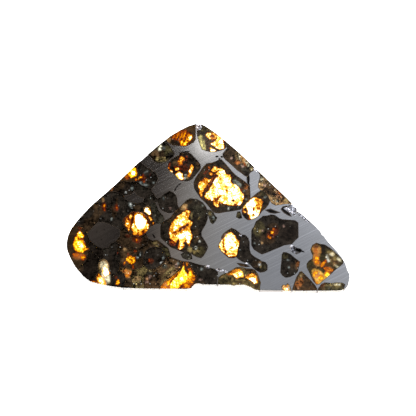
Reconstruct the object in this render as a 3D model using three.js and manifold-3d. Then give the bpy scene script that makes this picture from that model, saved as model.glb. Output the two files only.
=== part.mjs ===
// A polished slice of pallasite: a meteorite of iron-nickel metal full of olivine crystals.
// The slice lies flat with its show face up. Millimetres, +Z up, the origin in the middle of the
// bounding box and on the underside.
import * as THREE from "three";
import { mergeVertices } from "three/addons/utils/BufferGeometryUtils.js";
import Module from "manifold-3d";

// Driving dimensions, in millimetres
const THICKNESS = 3;
const EDGE_CHAMFER = 0.15; // the ground edge is broken by this much
const CRYSTAL_INSET = 0.14; // a crystal stands this far inside its drawn outline
const SOCKET_GROWTH = 0.08; // and its socket in the metal this far outside it
const CRYSTAL_RECESS = 0.05; // the crystals polish a little lower than the metal
const SMALLEST_METAL = 0.6; // mm3: crumbs of metal between crystals that are left out
const CUT_PAST = 1; // how far a cutter runs past both faces

// The outlines are drawn on a grid as "column,row" pairs, rows counted downwards. The grid was
// laid over the slice at a slant of 14.3 degrees, so a row is taller than a column is wide.
const COLUMN = 0.25;
const SLANT = 14.3;
const ROW = COLUMN / Math.cos(THREE.MathUtils.degToRad(SLANT));
const MIDDLE_COLUMN = 208;
const MIDDLE_ROW = 206.4;

// The rim of the slice, clockwise from its top corner
const RIM = `
  196,122.8 201,123.1 206,125.6 214,131 224,139 238,151 250,162.3 262,174 274,185.5 284,195
  291.5,202.6 294.5,204.8 296.8,210 301,212.8 310,220.7 316,226.3 320.5,231.3 321.8,234.2
  324,235.8 327,240.3 336,250 341,256.3 345,263 346.6,269 348.9,273.5 349,277 347.6,283
  344.5,287.4 340,289.6 325,290 300,290 275,289.7 260,289.4 255,289.2 250,286.3 244,284.1
  236.5,284.3 233.5,285.3 230.5,284.1 215,283.9 203,283.8 198.5,282.7 195,283.4 191.3,287.4
  186,288.3 176,288 150,287.9 125,287.2 110,285.3 98,282.7 91,280.8 84,275.6 76,266.3 71,257.6
  67.6,249.5 67,243 68.2,236 71.5,228.6 78,219.8 90,206.7 102,196 114,185.4 124,175.8 134,166
  146,155.2 158,144.8 170,135.3 180,129.3 188,125.3`;

// The crystals, by the look of the stone. Those at the rim are drawn past it and cut off there.
const AMBER = {
  apex_left: `195.4,119 195.4,139 193.5,141.8 189,144.3 184.5,146 178.5,145.4 172,144.6
    168.8,142.6 166.3,140.2 163.5,137 160,133 178,121`,
  apex_right: `203,119 200.8,124.5 198.8,127 197.2,129.5 197,134.5 198.3,139 200,144.5 202,149
    206,150.5 211,151.6 216,151.2 221,150 224.5,148.5 227,146.3 229,142.5 233,137`,
  great: `204.5,165.3 207,163.3 212,162.6 216,161 219.5,159.3 221.5,159.3 224.5,162.5 228.5,167
    232,171.3 236,175.3 241,178.8 246,182.3 249.8,186 250.2,192 250.3,198.5 247,201.8 243,206.5
    241,209.3 236,210.5 230,211.3 225,212 219,213.2 215,212.8 212,210.5 209,206.5 205.5,202.5
    201,198.5 197.5,193.5 194.3,188.5 193.6,183 195.2,178.5 198,174.3 201.5,169.3`,
  capsule: `257,193.2 260.5,190.8 262,190.3 266,193 268.7,197.3 270,200.5 268.5,204.5 265.5,208.3
    262,211 259.2,215 255.5,217.7 251,219.7 248,220.2 244.8,218 242.3,214.5 241.8,211 243,206.5
    247,201.8 250.3,198.5 254,195.8`,
  round: `180,152 183,152.8 188,152 190.5,153.5 194,157 197.5,160.5 200.3,164 200.6,168 198.6,171
    195.3,175 192,178.7 189,180.8 184,181 179.5,179.8 175.5,175.5 172,172.5 168.5,170.3
    167.3,167 168.3,162.5 171,159.3 175.5,156.5 178.5,155.2`,
  edge_ember: `118,181.5 112,177 138,150 142,156 139.5,161.5 137,168 138.5,175 137,181 130,181.8
    124,181`,
  sunburst: `133,211 142.5,212.5 147,216 150.5,221 150.5,226 148,230 146,233 141,236.5 133,235.5
    128,231.5 124.5,227 122,222 124.5,217.5 129,214`,
  sunburst_spur: `143.5,208 147.5,205 151,207 152.5,213 152.5,217.5 155.5,223.5 152,226.5
    150.5,226 150.5,221 147,216 142.5,212.5`,
  west_flame: `79,226 84,228 86,231 89,231.5 88.3,235.5 90.5,240.5 89,244.5 90.5,248.5
    88.5,253 87.5,259 84,263 80,266 72,272 58,250 66,222`,
  pearl_flame: `100,259.5 104,258 108,260 110,264 111,270 112.5,276 112,281 111.5,292 96,292
    96.5,281 96,276 98.5,272 98.5,266`,
  ember_foot: `183.5,261 188.5,261.3 190.5,264.5 193,269.5 197,274.5 198.3,279 197.5,294 160,294
    160.5,286 164.5,281 170,277.5 176.5,272.5 182,268`,
  twin: `190,198.5 197,199.3 202.5,202.5 206,207 206.8,209.5 207.7,214 207.5,219 205.5,224.5
    203,228.5 201.3,232 201.5,236 204,239.5 206.5,243.5 208,247 206,251.5 203.5,255.5 201,257.8
    197,256.7 193.5,255 190.5,252.5 187,251.3 184,252 179,250.3 176,248.8 171.5,247.3
    168.8,245.3 166.8,243 163.5,240 160.8,237.5 160.5,231 160.5,226 162.3,222.3 165,220.5
    170,218 172.3,214.7 175,211.5 180,207 183,204 186.5,200.5`,
  lantern: `231.5,228 236,230 241.8,234.8 240.3,240 239.3,246 238,252 236,256.5 233.5,257.8
    228.5,257.5 225,254.5 221,250.5 218.2,246.5 219.5,242.5 221.5,240 221.3,237 223,234
    226.5,231`,
  honey_heart: `316,242.8 319,243.8 324,244.5 329,247.5 334,251.5 339,256.5 342.5,260.5 342,263.3
    339.5,265.5 336,268 331,272.5 326,277 321.5,280.5 318.3,283.5 315.5,283.8 312.5,280.5
    310.5,276 308.5,271.5 306.2,267 306.2,263.5 308.5,260.5 311.8,258.5 312.3,255 311,252.5
    310.2,249.5 312,245`,
  cream_edge: `281,286 282.5,284.3 285,284.5 287,282.8 289,285 290,288 290.5,294 282,294
    281.5,288.3`,
  foot: `218.3,277 221,274.8 226,272.5 230,270.8 232,269.5 236,267 241,266.7 246,268.2 252,268.5
    255,270 257.5,274 259,279 260.2,282 259.5,286 258.8,294 217,294 217.8,281`,
};

const OLIVE = {
  shoulder: `145,150 150,146 162,136 163.5,137 166.3,140.2 167.5,142.8 169.5,145.3 171.5,148.5
    174,153 173.6,156 169.5,159 166,161.5 162,163 157,163 153.8,161.3 151,157.5 148.3,155`,
  brown_flank: `229,142.5 233,137 259,163 255,168 253.8,170.3 250.5,172.3 248.7,175 247,176.3
    245,175.8 241.5,172.8 237,169.8 233,165.8 229,162.3 225.5,159.5 223.3,156.5 222.8,153.5
    225.2,150.5 227.3,147.8 227,146.3`,
  flank_upper: `257.2,169.5 259,166 274,179 269.5,182 266.5,185.5 264.5,188.5 262,190.3 260.5,190
    258.3,187 258.8,181.5 260.3,178 260.2,174.5 258.9,172`,
  flank_lower: `274,179 297,200 291.8,203.4 284,204 280,204.8 275.5,205.3 271.8,203.3 270,200.5
    268.7,197.3 266,193 262,190.3 264.5,188.5 266.5,185.5 269.5,182`,
  sienna: `120,264.5 126,267 133,269 131.5,275 132.5,281 131,294 123,294 124,286 126.5,279
    125,273 119,269.5`,
  fern: `133,269 140,268 144.5,264.5 149,269 146,274 144,280 145,294 131,294 132.5,281 131.5,275`,
  green_sliver: `164,244.8 168.3,247.8 169.8,252 171,256.8 166,257 164.5,252 161.5,248`,
  fan: `160,265 163.5,261 166,257 171,256.8 176,258.8 181,260.5 183.5,261 182,268 176.5,272.5
    170,277.5 164.5,281 160.5,286 157,283 156,276 158,270 155,268.5`,
  green_chip: `206.8,209.5 210.5,210.2 213.5,212.5 214.3,214.8 217,217.8 215.5,221 212.7,224
    210.7,222.5 209.5,219 207.7,214`,
  small_chip: `237.4,211.8 240,211.5 241.2,214.5 242,218 239,218.6 236.2,217 236.9,214`,
  moss_strip: `317.2,288 320.5,283.5 324,282 330,282.7 336,282 341,282.3 343.8,283.8 343,287
    341,294 316.8,294`,
};

const SMOKY = {
  moor: `104,195 98,190 112,177 118,181.5 124,181 130,181.8 137,181 135.5,186 134,191 131,194.3
    124,195.8 119,192.5 112,191 107.5,192`,
  charcoal: `139.5,161.5 145,165.8 151,169.3 155.5,173 158,178.5 155.5,184 152,188 146,187.5
    140,184 137,181 138.5,175 137,168`,
  soot_wedge: `137,181 140,184 146,187.5 152,188 151,190.5 153.5,193.5 150,196 144,198 138,196
    134,191 135.5,186`,
  cinder: `144,198 150,196 153.5,193.5 157,198.5 157.3,201.5 155,202.3 150.5,203.5 147.5,205
    143,202`,
  grey_hexagon: `160,197.5 164,194 169.5,190.8 173,192.5 176,195.5 177,199.5 177.5,205 179,208
    175,211.5 171,213 168,213 163,211 160.5,209 158.8,206 157.3,201.5 157,198.5`,
  tawny: `124.5,199 130,201.5 137,203.5 143,202 147.5,205 143.5,208 142.5,212.5 133,211 129,214
    124.5,217.5 122,222 121,216 123,210 124.5,203`,
  slate_wedge: `147.5,205 150.5,203.5 155,202.3 157,206.7 158.6,210.5 160.3,213 163,215.5
    164.5,219 163.5,222 161.8,223.8 155.5,223.5 152.5,217.5 152.5,213 151,207`,
  bark: `72,218 85,204 96,196 99,204 98,211 100,217 98,222 93,227 89,231.5 86,231 84,228 79,226
    66,222`,
  garnet: `96,196 104,195 107.5,192 112,191 111,199 110,207 112,214 110,219 110,224.5 104,222
    98,222 100,217 98,211 99,204`,
  copper: `112,191 119,192.5 124,195.8 124.5,199 124.5,203 123,210 121,216 122,222 124.5,227
    120.3,230 116,227 110,224.5 110,219 112,214 110,207 111,199`,
  nightfall: `90.5,248.5 94,252 98.5,256 100,259.5 98.5,266 98.5,272 96,276 96.5,281 96,292
    80,288 72,272 80,266 84,263 87.5,259 88.5,253`,
  ash_west: `90.5,240.5 98,246.5 103,248.2 104.5,253 104,258 100,259.5 98.5,256 94,252
    90.5,248.5 89,244.5`,
  ash_east: `103,248.2 109,247 110,244 115.5,241.5 118.5,243.5 117,250 117.5,258 120,264.5
    119,269.5 116,273.5 112.5,276 111,270 110,264 108,260 104,258 104.5,253`,
  clove: `112.5,276 116,273.5 119,269.5 125,273 126.5,279 124,286 123,294 111.5,292 112,281`,
  freckled: `149,269 155,268.5 158,270 156,276 157,283 160.5,286 160,294 145,294 144,280 146,274`,
  mottle: `118.5,243.5 124,246 130,248.5 137,249 143,246 147.5,243 150,247.5 145.5,251 143.5,257
    144.5,264.5 140,268 133,269 126,267 120,264.5 117.5,258 117,250`,
  rosewood: `120.3,230 124.5,227 128,231.5 133,235.5 141,236.5 146,233 148.5,238.5 147.5,243
    143,246 137,249 130,248.5 124,246 118.5,243.5 115.5,241.5 120,236`,
  dusk: `148.5,238.5 152,240.3 157,239.8 160.5,242 164,244.8 161.5,248 156,246.5 150,247.5
    147.5,243`,
  raven: `150,247.5 156,246.5 161.5,248 164.5,252 166,257 163.5,261 160,265 155,268.5 149,269
    144.5,264.5 143.5,257 145.5,251`,
  char_foot: `191.5,262 196,263.5 201,264.8 206,265.5 210.5,267.8 214,268.5 217.5,270.3 217.8,275
    217,281 216,294 197.5,294 198.3,279 197,274.5 193,269.5 190.5,264.5 188.5,261.3`,
  south_shard: `184,252 187,251.3 190.5,252.5 191.8,255.5 192.3,258.7 187.5,259.5 183,257.8
    181,254.3`,
  smoke_neck: `241.8,234.8 245,235 248,238 249.3,242 249.3,249 250.5,253.5 254,256.5 258.5,259
    261.5,261 265,262 267,265 266.8,269.5 264,271.3 260,272 256.5,270.3 253,267.5 250,264.2
    246,262.6 242,261.2 238.5,259 236,256.5 238,252 239.3,246 240.3,240`,
  umber_splinter: `236.5,262.7 241,263.2 246,264.3 250,266.2 245,266.5 240,265.5`,
  great_smoky: `263,216 267,215.8 271,214.5 275,215.3 279,218.3 282,219.5 290,220 295,220.5
    298,222.8 298,230 298,237.5 295,240 291.5,243.8 284,245 278,247.5 272,250 266,252.5 261.5,254
    258,252 253.5,249 251.3,245 251.3,236 251.5,230 254,226.5 256,221.5 260,218.5`,
  brown_kite: `283,252 286,252.3 290,254 294,257.5 299.3,261.5 298.3,266 297,271 294,274
    289.5,276.3 285,277 282,275 280,272 280.5,266 281.3,260 281.5,254.5`,
  rust_triangle: `299,271.5 301,271 305,275 309.5,279.5 314,284.5 316,288 315.8,294 291.5,294
    291.9,288 293.5,283 296,276.5`,
};

const TROILITE = {
  black_splinter: `265,210 270.5,208.8 275,210.6 280.5,212.5 275,213.5 270,213 267.5,211.5`,
  edge_splinter: `280.8,209.3 282.8,206.5 287,205.8 288,208 287,210.5 289.8,213.5 291.5,216.8
    288,215.3 284,212.9`,
};

// Separate bodies of metal, each by a grid point inside it. The largest one is the matrix.
const METAL = {
  matrix: "240,224",
  island: "104,235",
  north_sliver: "134,198.5",
  vein: "167,215.5",
};

// Places where the show face is broken, cut into the metal. The walls slope in by the draft.
const PITS = [
  // a chip out of the rim
  { outline: "287.5,207 290,203.5 293,200 302,208 297,213.5 291.5,210.5", depth: 1.3, draft: 0.5 },
  // the ledge that runs on from it along the rim
  { outline: "297,211 301,214.3 306,218.6 311.5,223.6 315,224 300,206", depth: 0.7, draft: 0.1 },
  // a cavity where a small crystal fell out
  {
    outline: `290.5,247.5 293,246.3 296.5,247.3 299,249.3 302.6,250.5 299.5,252.7 296,254
      292,252.5`,
    depth: 0.8,
    draft: 0.35,
  },
  // a crescent crack beside the great amber crystal
  {
    outline: `249.8,172 248.4,175.8 247.9,179 248.6,182.2 251,185.6 249,184.9 247,182.4
      246.5,179 247,175.4`,
    depth: 0.5,
    draft: 0.08,
  },
];

const LOOKS = {
  metal: { color: 0x8f8e90, metalness: 1, roughness: 0.3 },
  amber: { color: 0xd98a1f, metalness: 0, roughness: 0.15 },
  olive: { color: 0x6b5c35, metalness: 0, roughness: 0.25 },
  smoky: { color: 0x2c241c, metalness: 0, roughness: 0.25 },
  troilite: { color: 0x1c1b1d, metalness: 0.6, roughness: 0.5 },
};

const wasm = await Module();
wasm.setup();

// Reads "column,row" pairs as points in millimetres
function drawn(text) {
  return text
    .trim()
    .split(/\s+/)
    .map((pair) => {
      const [column, row] = pair.split(",").map(Number);
      return new THREE.Vector2((column - MIDDLE_COLUMN) * COLUMN, (MIDDLE_ROW - row) * ROW);
    });
}

function counterClockwise(points) {
  return THREE.ShapeUtils.isClockWise(points) ? [...points].reverse() : points;
}

// Moves each side of a counter-clockwise outline outwards by a distance, or inwards if negative
function offset(points, distance) {
  const leastSpread = 0.35; // keeps a sharp corner from shooting out
  return points.map((here, i) => {
    const before = points[(i + points.length - 1) % points.length];
    const after = points[(i + 1) % points.length];
    const in1 = new THREE.Vector2().subVectors(here, before).normalize();
    const out1 = new THREE.Vector2().subVectors(after, here).normalize();
    const normal1 = new THREE.Vector2(in1.y, -in1.x);
    const normal2 = new THREE.Vector2(out1.y, -out1.x);
    const spread = Math.max(1 + normal1.dot(normal2), leastSpread);
    return here.clone().addScaledVector(normal1.add(normal2), distance / spread);
  });
}

// A closed solid through rings of the same number of points, the lowest first
function loft(rings) {
  const count = rings[0].points.length;
  const positions = rings.flatMap(({ points, z }) => points.flatMap((p) => [p.x, p.y, z]));
  const faces = [];
  for (let level = 0; level < rings.length - 1; level++) {
    for (let i = 0; i < count; i++) {
      const low = level * count + i;
      const lowNext = level * count + ((i + 1) % count);
      faces.push(low, lowNext, lowNext + count, low, lowNext + count, low + count);
    }
  }
  const top = (rings.length - 1) * count;
  for (const [a, b, c] of THREE.ShapeUtils.triangulateShape(rings[0].points, [])) {
    faces.push(a, c, b);
  }
  for (const [a, b, c] of THREE.ShapeUtils.triangulateShape(rings.at(-1).points, [])) {
    faces.push(top + a, top + b, top + c);
  }
  const geometry = new THREE.BufferGeometry();
  geometry.setAttribute("position", new THREE.Float32BufferAttribute(positions, 3));
  geometry.setIndex(faces);
  return geometry;
}

function solid(geometry) {
  const merged = mergeVertices(geometry, 1e-4);
  return new wasm.Manifold(
    new wasm.Mesh({
      numProp: 3,
      vertProperties: merged.attributes.position.array,
      triVerts: new Uint32Array(merged.index.array),
    }),
  );
}

function geometryOf(manifold) {
  const { vertProperties, triVerts } = manifold.getMesh();
  const geometry = new THREE.BufferGeometry();
  geometry.setAttribute("position", new THREE.BufferAttribute(vertProperties, 3));
  geometry.setIndex(new THREE.BufferAttribute(triVerts, 1));
  return geometry;
}

// The whole slice, crystals and all: its rim with both edges broken
function sliceBody() {
  const rim = counterClockwise(drawn(RIM));
  const inner = offset(rim, -EDGE_CHAMFER);
  return solid(
    loft([
      { points: inner, z: 0 },
      { points: rim, z: EDGE_CHAMFER },
      { points: rim, z: THICKNESS - EDGE_CHAMFER },
      { points: inner, z: THICKNESS },
    ]),
  );
}

// A column of the slice inside an outline. The crystals are so much taller than the slice is
// thick that their walls run straight through it.
function column(outline, growth, low, high) {
  const wall = offset(outline, growth);
  return solid(
    loft([
      { points: wall, z: low },
      { points: wall, z: high },
    ]),
  );
}

// A crystal, cut off at the rim of the slice
function crystalBody(outline, slice) {
  const grain = column(outline, -CRYSTAL_INSET, CRYSTAL_RECESS, THICKNESS - CRYSTAL_RECESS);
  return grain.intersect(slice);
}

// The socket that a crystal grew in
function socket(outline) {
  return column(outline, SOCKET_GROWTH, -CUT_PAST, THICKNESS + CUT_PAST);
}

// A pit in the show face whose floor is smaller than its mouth
function pit({ outline, depth, draft }) {
  const mouth = counterClockwise(drawn(outline));
  return solid(
    loft([
      { points: offset(mouth, -draft), z: THICKNESS - depth },
      { points: mouth, z: THICKNESS },
      { points: mouth, z: THICKNESS + CUT_PAST },
    ]),
  );
}

// The body that a grid point lies in: the smallest whose box holds it
function bodyAt(bodies, text) {
  const [at] = drawn(text);
  return bodies
    .filter((body) => {
      const { min, max } = body.boundingBox();
      return min[0] < at.x && at.x < max[0] && min[1] < at.y && at.y < max[1];
    })
    .sort((a, b) => a.volume() - b.volume())[0];
}

function named(name, manifold, look) {
  const mesh = new THREE.Mesh(geometryOf(manifold), new THREE.MeshStandardMaterial(LOOKS[look]));
  mesh.name = name;
  return mesh;
}

const meteorite = new THREE.Group();
meteorite.name = "pallasite_slice";

const slice = sliceBody();
const sockets = [];
const families = [
  ["olivine_", AMBER, "amber"],
  ["olivine_", OLIVE, "olive"],
  ["olivine_", SMOKY, "smoky"],
  ["troilite_", TROILITE, "troilite"],
];
for (const [prefix, family, look] of families) {
  for (const [name, text] of Object.entries(family)) {
    const outline = counterClockwise(drawn(text));
    meteorite.add(named(prefix + name, crystalBody(outline, slice), look));
    sockets.push(socket(outline));
  }
}

let metal = slice;
for (const cutter of [...sockets, ...PITS.map(pit)]) {
  metal = metal.subtract(cutter);
}
const bodies = metal.decompose().filter((body) => body.volume() > SMALLEST_METAL);
for (const [name, at] of Object.entries(METAL)) {
  meteorite.add(named("iron_nickel_" + name, bodyAt(bodies, at), "metal"));
}

export default meteorite;
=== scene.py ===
# A polished slice of pallasite meteorite lying on a light table: iron-nickel metal full of olivine
# crystals, which the light of the table comes up through.
import math
from functools import partial

import bmesh
import bpy
import numpy as np
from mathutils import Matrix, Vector, geometry, kdtree, noise


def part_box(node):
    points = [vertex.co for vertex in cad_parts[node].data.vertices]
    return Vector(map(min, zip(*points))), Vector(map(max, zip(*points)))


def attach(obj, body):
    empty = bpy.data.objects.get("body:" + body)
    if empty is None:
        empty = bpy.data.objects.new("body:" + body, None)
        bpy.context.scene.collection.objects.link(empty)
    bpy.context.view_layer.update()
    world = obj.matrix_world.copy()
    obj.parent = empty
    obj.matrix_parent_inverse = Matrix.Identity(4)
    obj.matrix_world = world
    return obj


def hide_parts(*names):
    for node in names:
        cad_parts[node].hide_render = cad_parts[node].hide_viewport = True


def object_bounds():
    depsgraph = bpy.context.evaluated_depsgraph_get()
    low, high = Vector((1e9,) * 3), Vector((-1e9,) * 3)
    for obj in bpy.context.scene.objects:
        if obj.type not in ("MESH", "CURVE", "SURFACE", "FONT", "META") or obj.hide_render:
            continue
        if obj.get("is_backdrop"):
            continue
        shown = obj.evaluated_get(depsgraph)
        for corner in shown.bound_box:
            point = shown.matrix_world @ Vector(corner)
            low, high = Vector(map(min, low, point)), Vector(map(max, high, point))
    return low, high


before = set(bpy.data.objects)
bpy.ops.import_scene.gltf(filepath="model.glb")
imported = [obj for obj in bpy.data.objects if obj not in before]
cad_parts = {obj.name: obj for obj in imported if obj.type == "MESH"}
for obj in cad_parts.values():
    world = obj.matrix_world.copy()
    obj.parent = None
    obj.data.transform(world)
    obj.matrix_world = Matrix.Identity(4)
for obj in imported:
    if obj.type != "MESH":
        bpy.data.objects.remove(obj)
cad_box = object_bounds()

MM = 0.001
COLLECTION = bpy.context.scene.collection

# The light table that the slice lies on: an opal sheet that glows so brightly that it reads as
# pure white, and lights the clear stone from below.
TABLE_GLOW = 3.2
TABLE_SIZE = 6.0
TABLE_DROP = 0.2 * MM


def add(tree, kind, inputs=None, **settings):
    """Adds a shader node, with its properties, and a plain value or a socket for each input."""
    node = tree.nodes.new("ShaderNode" + kind)
    for key, value in settings.items():
        setattr(node, key, value)
    for key, value in (inputs or {}).items():
        if isinstance(value, bpy.types.NodeSocket):
            tree.links.new(value, node.inputs[key])
        else:
            node.inputs[key].default_value = value
    return node


def new_material(name, build):
    """A material whose nodes a function adds to its tree; it gives what the output shows."""
    material = bpy.data.materials.new(name)
    material.use_nodes = True
    material.node_tree.nodes.clear()
    add(material.node_tree, "OutputMaterial", build(material.node_tree))
    return material


def add_sheet(name, height, size, material):
    """A flat square stage sheet over the middle of the slice."""
    half = size / 2
    corners = [(-half, -half), (half, -half), (half, half), (-half, half)]
    mesh = bpy.data.meshes.new(name)
    mesh.from_pydata([(x, y, height) for x, y in corners], [], [(0, 1, 2, 3)])
    mesh.materials.append(material)
    sheet = bpy.data.objects.new(name, mesh)
    COLLECTION.objects.link(sheet)
    sheet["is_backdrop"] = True
    return sheet


def opal_glass(tree):
    return {"Surface": add(tree, "Emission", {"Strength": TABLE_GLOW}).outputs["Emission"]}


add_sheet("light_table", -TABLE_DROP, TABLE_SIZE, new_material("opal_glass", opal_glass))

# The light from above: one soft overhead panel, and a plain pale room round it. The polished metal
# mirrors the panel, so its glow has the metal's shades: dark and warm at the left, pale and cool at
# the right, brightest near the apex. A lamp strip far behind catches broken facets only.
PANEL_HEIGHT = 60 * MM
PANEL_SIZE = 300 * MM
ROOM_LIGHT = 0.2
PANEL_SLANT = 0.3
# Each band of the glow: the way that it runs, from where to where in millimetres, and how bright
# it is at either end. What ends in side only holds another band to one part of the panel.
BANDS = {
    "left": ("slanted", -20.5, -8.5, 0.0, 0.315),
    "far_left": ("across", -30, -24, 0.05, 0.0),
    "near": ("away", 2, 13, 0.0, 0.03),
    "middle": ("across", -3, 6, 0.0, 0.08),
    "right": ("across", 12, 22, 0.0, 0.12),
    "right_side": ("away", 0, 7, 0.0, 1.0),
    "corner": ("across", 26, 36, 0.0, 0.18),
    "beside": ("across", -4, 5, 0.0, 0.26),
    "beside_side": ("away", 12, 19, 0.0, 1.0),
    "lamp": ("away", 52, 56, 0.0, 3.5),
    "lamp_side": ("away", 100, 104, 1.0, 0.0),
}
BLAZE_CENTRE = (-0.8 * MM, 33 * MM, PANEL_HEIGHT)
BLAZE_GLOW = (1 * MM, 4.4 * MM, 3.0, 0.0)
# The tint of the panel from its left to its right, each by how far along it lies. Here and below,
# a ramp is written as where it starts and ends, and what it gives at either end.
PANEL_TINTS = ((0.1, (1.0, 0.8, 0.66, 1)), (0.35, (1.0, 0.97, 0.93, 1)), (0.75, (0.93, 0.97, 1.06, 1)))
TINTED = (-25 * MM, 30 * MM, 0.0, 1.0)


def ramp_between(tree, value, low, high, low_out, high_out):
    """Maps a value smoothly from one range to another."""
    ends = {"From Min": low, "From Max": high, "To Min": low_out, "To Max": high_out}
    return add(tree, "MapRange", {"Value": value, **ends}, interpolation_type="SMOOTHSTEP").outputs["Result"]


def arithmetic(tree, operation, first, second):
    """An operation on two values, either of which may be a plain number."""
    return add(tree, "Math", {0: first, 1: second}, operation=operation).outputs["Value"]


def sums(tree):
    """What adds, subtracts, multiplies and ramps values in one tree."""
    kinds = ("ADD", "SUBTRACT", "MULTIPLY")
    return *(partial(arithmetic, tree, kind) for kind in kinds), partial(ramp_between, tree)


def panel_diffuser(tree):
    plus, minus, times, ramp = sums(tree)
    place = add(tree, "TexCoord").outputs["Object"]
    axes = add(tree, "SeparateXYZ", {"Vector": place}).outputs
    ways = {"across": axes["X"], "away": axes["Y"]}
    ways["slanted"] = minus(axes["X"], times(axes["Y"], PANEL_SLANT))
    glow = {}
    for name, (way, low, high, *ends) in BANDS.items():
        glow[name] = ramp(ways[way], low * MM, high * MM, *ends)
    for name in ("right", "beside", "lamp"):
        glow[name] = times(glow[name], glow.pop(name + "_side"))
    away = add(tree, "VectorMath", {0: place, 1: BLAZE_CENTRE}, operation="DISTANCE").outputs["Value"]
    strength = ramp(away, *BLAZE_GLOW)
    for band in glow.values():
        strength = plus(strength, band)
    tint = add(tree, "ValToRGB", {"Fac": ramp(axes["X"], *TINTED)})
    tints = tint.color_ramp.elements
    tints.new(0.5)
    for stop, (position, colour) in zip(tints, PANEL_TINTS):
        stop.position = position
        stop.color = colour
    light = {"Strength": strength, "Color": tint.outputs["Color"]}
    return {"Surface": add(tree, "Emission", light).outputs["Emission"]}


panel = add_sheet("overhead_panel", PANEL_HEIGHT, PANEL_SIZE, new_material("panel_diffuser", panel_diffuser))
panel.visible_camera = False
panel.visible_shadow = False

room = bpy.data.worlds.new("pale_room")
bpy.context.scene.world = room
room.use_nodes = True
room.node_tree.nodes.clear()
in_view = add(room.node_tree, "LightPath").outputs["Is Camera Ray"]
seen_and_lit = add(room.node_tree, "MapRange", {"Value": in_view, "To Min": ROOM_LIGHT, "To Max": 1.0})
pale = {"Color": (1, 1, 1, 1), "Strength": seen_and_lit.outputs["Result"]}
background = add(room.node_tree, "Background", pale)
add(room.node_tree, "OutputWorld", {"Surface": background.outputs["Background"]})
bpy.context.scene.view_settings.view_transform = "Standard"

# The camera looks almost straight down at the show face, from the side of the long lower rim.
# The outlines and everything placed on the slice are counted in columns and rows of its view.
COLUMN = 0.25 * MM
SLANT = math.radians(14.3)
ROW = COLUMN / math.cos(SLANT)
MIDDLE_COLUMN = 208
MIDDLE_ROW = 206.4
FRAME_COLUMNS = 416
FRAME_MIDDLE = 208
CAMERA_DISTANCE = 0.58
SENSOR = 36
FACE_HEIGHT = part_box("iron_nickel_matrix")[1].z


def at(column, row):
    """The place on the show face at a column and row, in metres."""
    return (column - MIDDLE_COLUMN) * COLUMN, (MIDDLE_ROW - row) * ROW


aim = Vector((*at(FRAME_MIDDLE, FRAME_MIDDLE), FACE_HEIGHT))
lens = bpy.data.cameras.new("camera")
lens.sensor_width = SENSOR
lens.lens = SENSOR * CAMERA_DISTANCE / (FRAME_COLUMNS * COLUMN)
lens.clip_start = 0.01
camera = bpy.data.objects.new("camera", lens)
COLLECTION.objects.link(camera)
camera.location = aim + CAMERA_DISTANCE * Vector((0, -math.sin(SLANT), math.cos(SLANT)))
camera.rotation_euler = (SLANT, 0, 0)
bpy.context.scene.camera = camera

# The metal: a network of iron-nickel, sawn and polished with a fine grit that leaves long faint
# scratches, with a painted sheen streaking its colour along them. Its ground edge is rougher and
# paler, and its pits and cracks are painted near black, for rust and for the shade in them.
METAL_NODES = [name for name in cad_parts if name.startswith("iron_nickel_")]
SCRATCH_TURN = math.radians(27)
SCRATCH_LENGTHS = (12 * MM, 0.16 * MM, 12 * MM)
STROKE_LENGTHS = (30 * MM, 0.45 * MM, 30 * MM)
GRAINS_PER_METRE = 260
SCRATCH_STRENGTH = 0.2
SCRATCH_DEPTH = 0.01 * MM
# Painted sheen: the scratches and broad strokes streak the metal's colour lighter and darker.
SCRATCH_PAINTED_SHEEN = (0.3, 0.7, 0.92, 1.05)
STROKE_PAINTED_SHEEN = (0.52, 0.7, 0.0, 0.2)
FACE_ROUGHNESS = (0.3, 0.75, 0.15, 0.22)
WALL_ROUGHNESS = 0.35
FACE_MARGIN = 0.05 * MM
IRON_TONES = ((0.55, 0.54, 0.53), (0.62, 0.62, 0.63))
GROUND_IRON = (0.26, 0.24, 0.225)
# Near black: rust, and the painted shade of the pits and cracks.
RUST_AND_SHADE = (0.015, 0.012, 0.01)
RUST_AND_SHADE_EDGE = (0.0, 0.45, 0.0, 1.0)
# Pits and cracks painted near black, for rust and for the shade in them, each an oval: column, row,
# half width, half height and turn.
RUST_AND_SHADE_SPOTS = (
    (217, 156.2, 2.1, 1.3, 0),
    (221.8, 156.5, 1.5, 1.4, 0),
    (219.6, 158.4, 1.6, 0.8, 20),
    (179.4, 184.2, 0.8, 2.6, -52),
    (177, 186.6, 0.8, 2.4, -38),
    (175.2, 189.4, 0.9, 2.2, -30),
    (184, 151.9, 7.4, 1.3, 10),
    (102, 239.5, 0.8, 0.7, 0),
    (104.5, 229.5, 0.7, 0.5, 0),
    (97, 232, 0.6, 0.5, 0),
    (305, 218, 9, 1.0, -42),
    (298, 249.4, 4.4, 1.9, -8),
    (302, 251.2, 3, 0.9, -20),
    (248.6, 179, 1.7, 7, 0),
    (260.2, 182, 1.3, 6, 0),
    (154, 236, 1, 3.4, 30),
    (196, 254.5, 4, 1.2, -8),
)


def texture(tree, kind, place, scale, detail=None, **settings):
    """A 3-D texture node at a scale given in features per metre."""
    inputs = {"Vector": place, "Scale": scale}
    if detail:
        inputs["Detail"] = detail
    return add(tree, kind, inputs, **settings).outputs


def turned(tree, place, turn, lengths, centre=(0, 0, 0)):
    """The place for a texture turned about the upright axis, with features of the given lengths."""
    inputs = {"Vector": place, "Location": centre, "Rotation": (0, 0, turn), "Scale": lengths}
    return add(tree, "Mapping", inputs, vector_type="TEXTURE").outputs["Vector"]


def off_the_faces(tree, place):
    """Nought on both polished faces and one on every wall between them."""
    height = add(tree, "SeparateXYZ", {"Vector": place}).outputs["Z"]
    half = FACE_HEIGHT / 2
    away = arithmetic(tree, "ABSOLUTE", arithmetic(tree, "SUBTRACT", height, half), 0.0)
    return ramp_between(tree, away, half - 2 * FACE_MARGIN, half - FACE_MARGIN, 1.0, 0.0)


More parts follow.
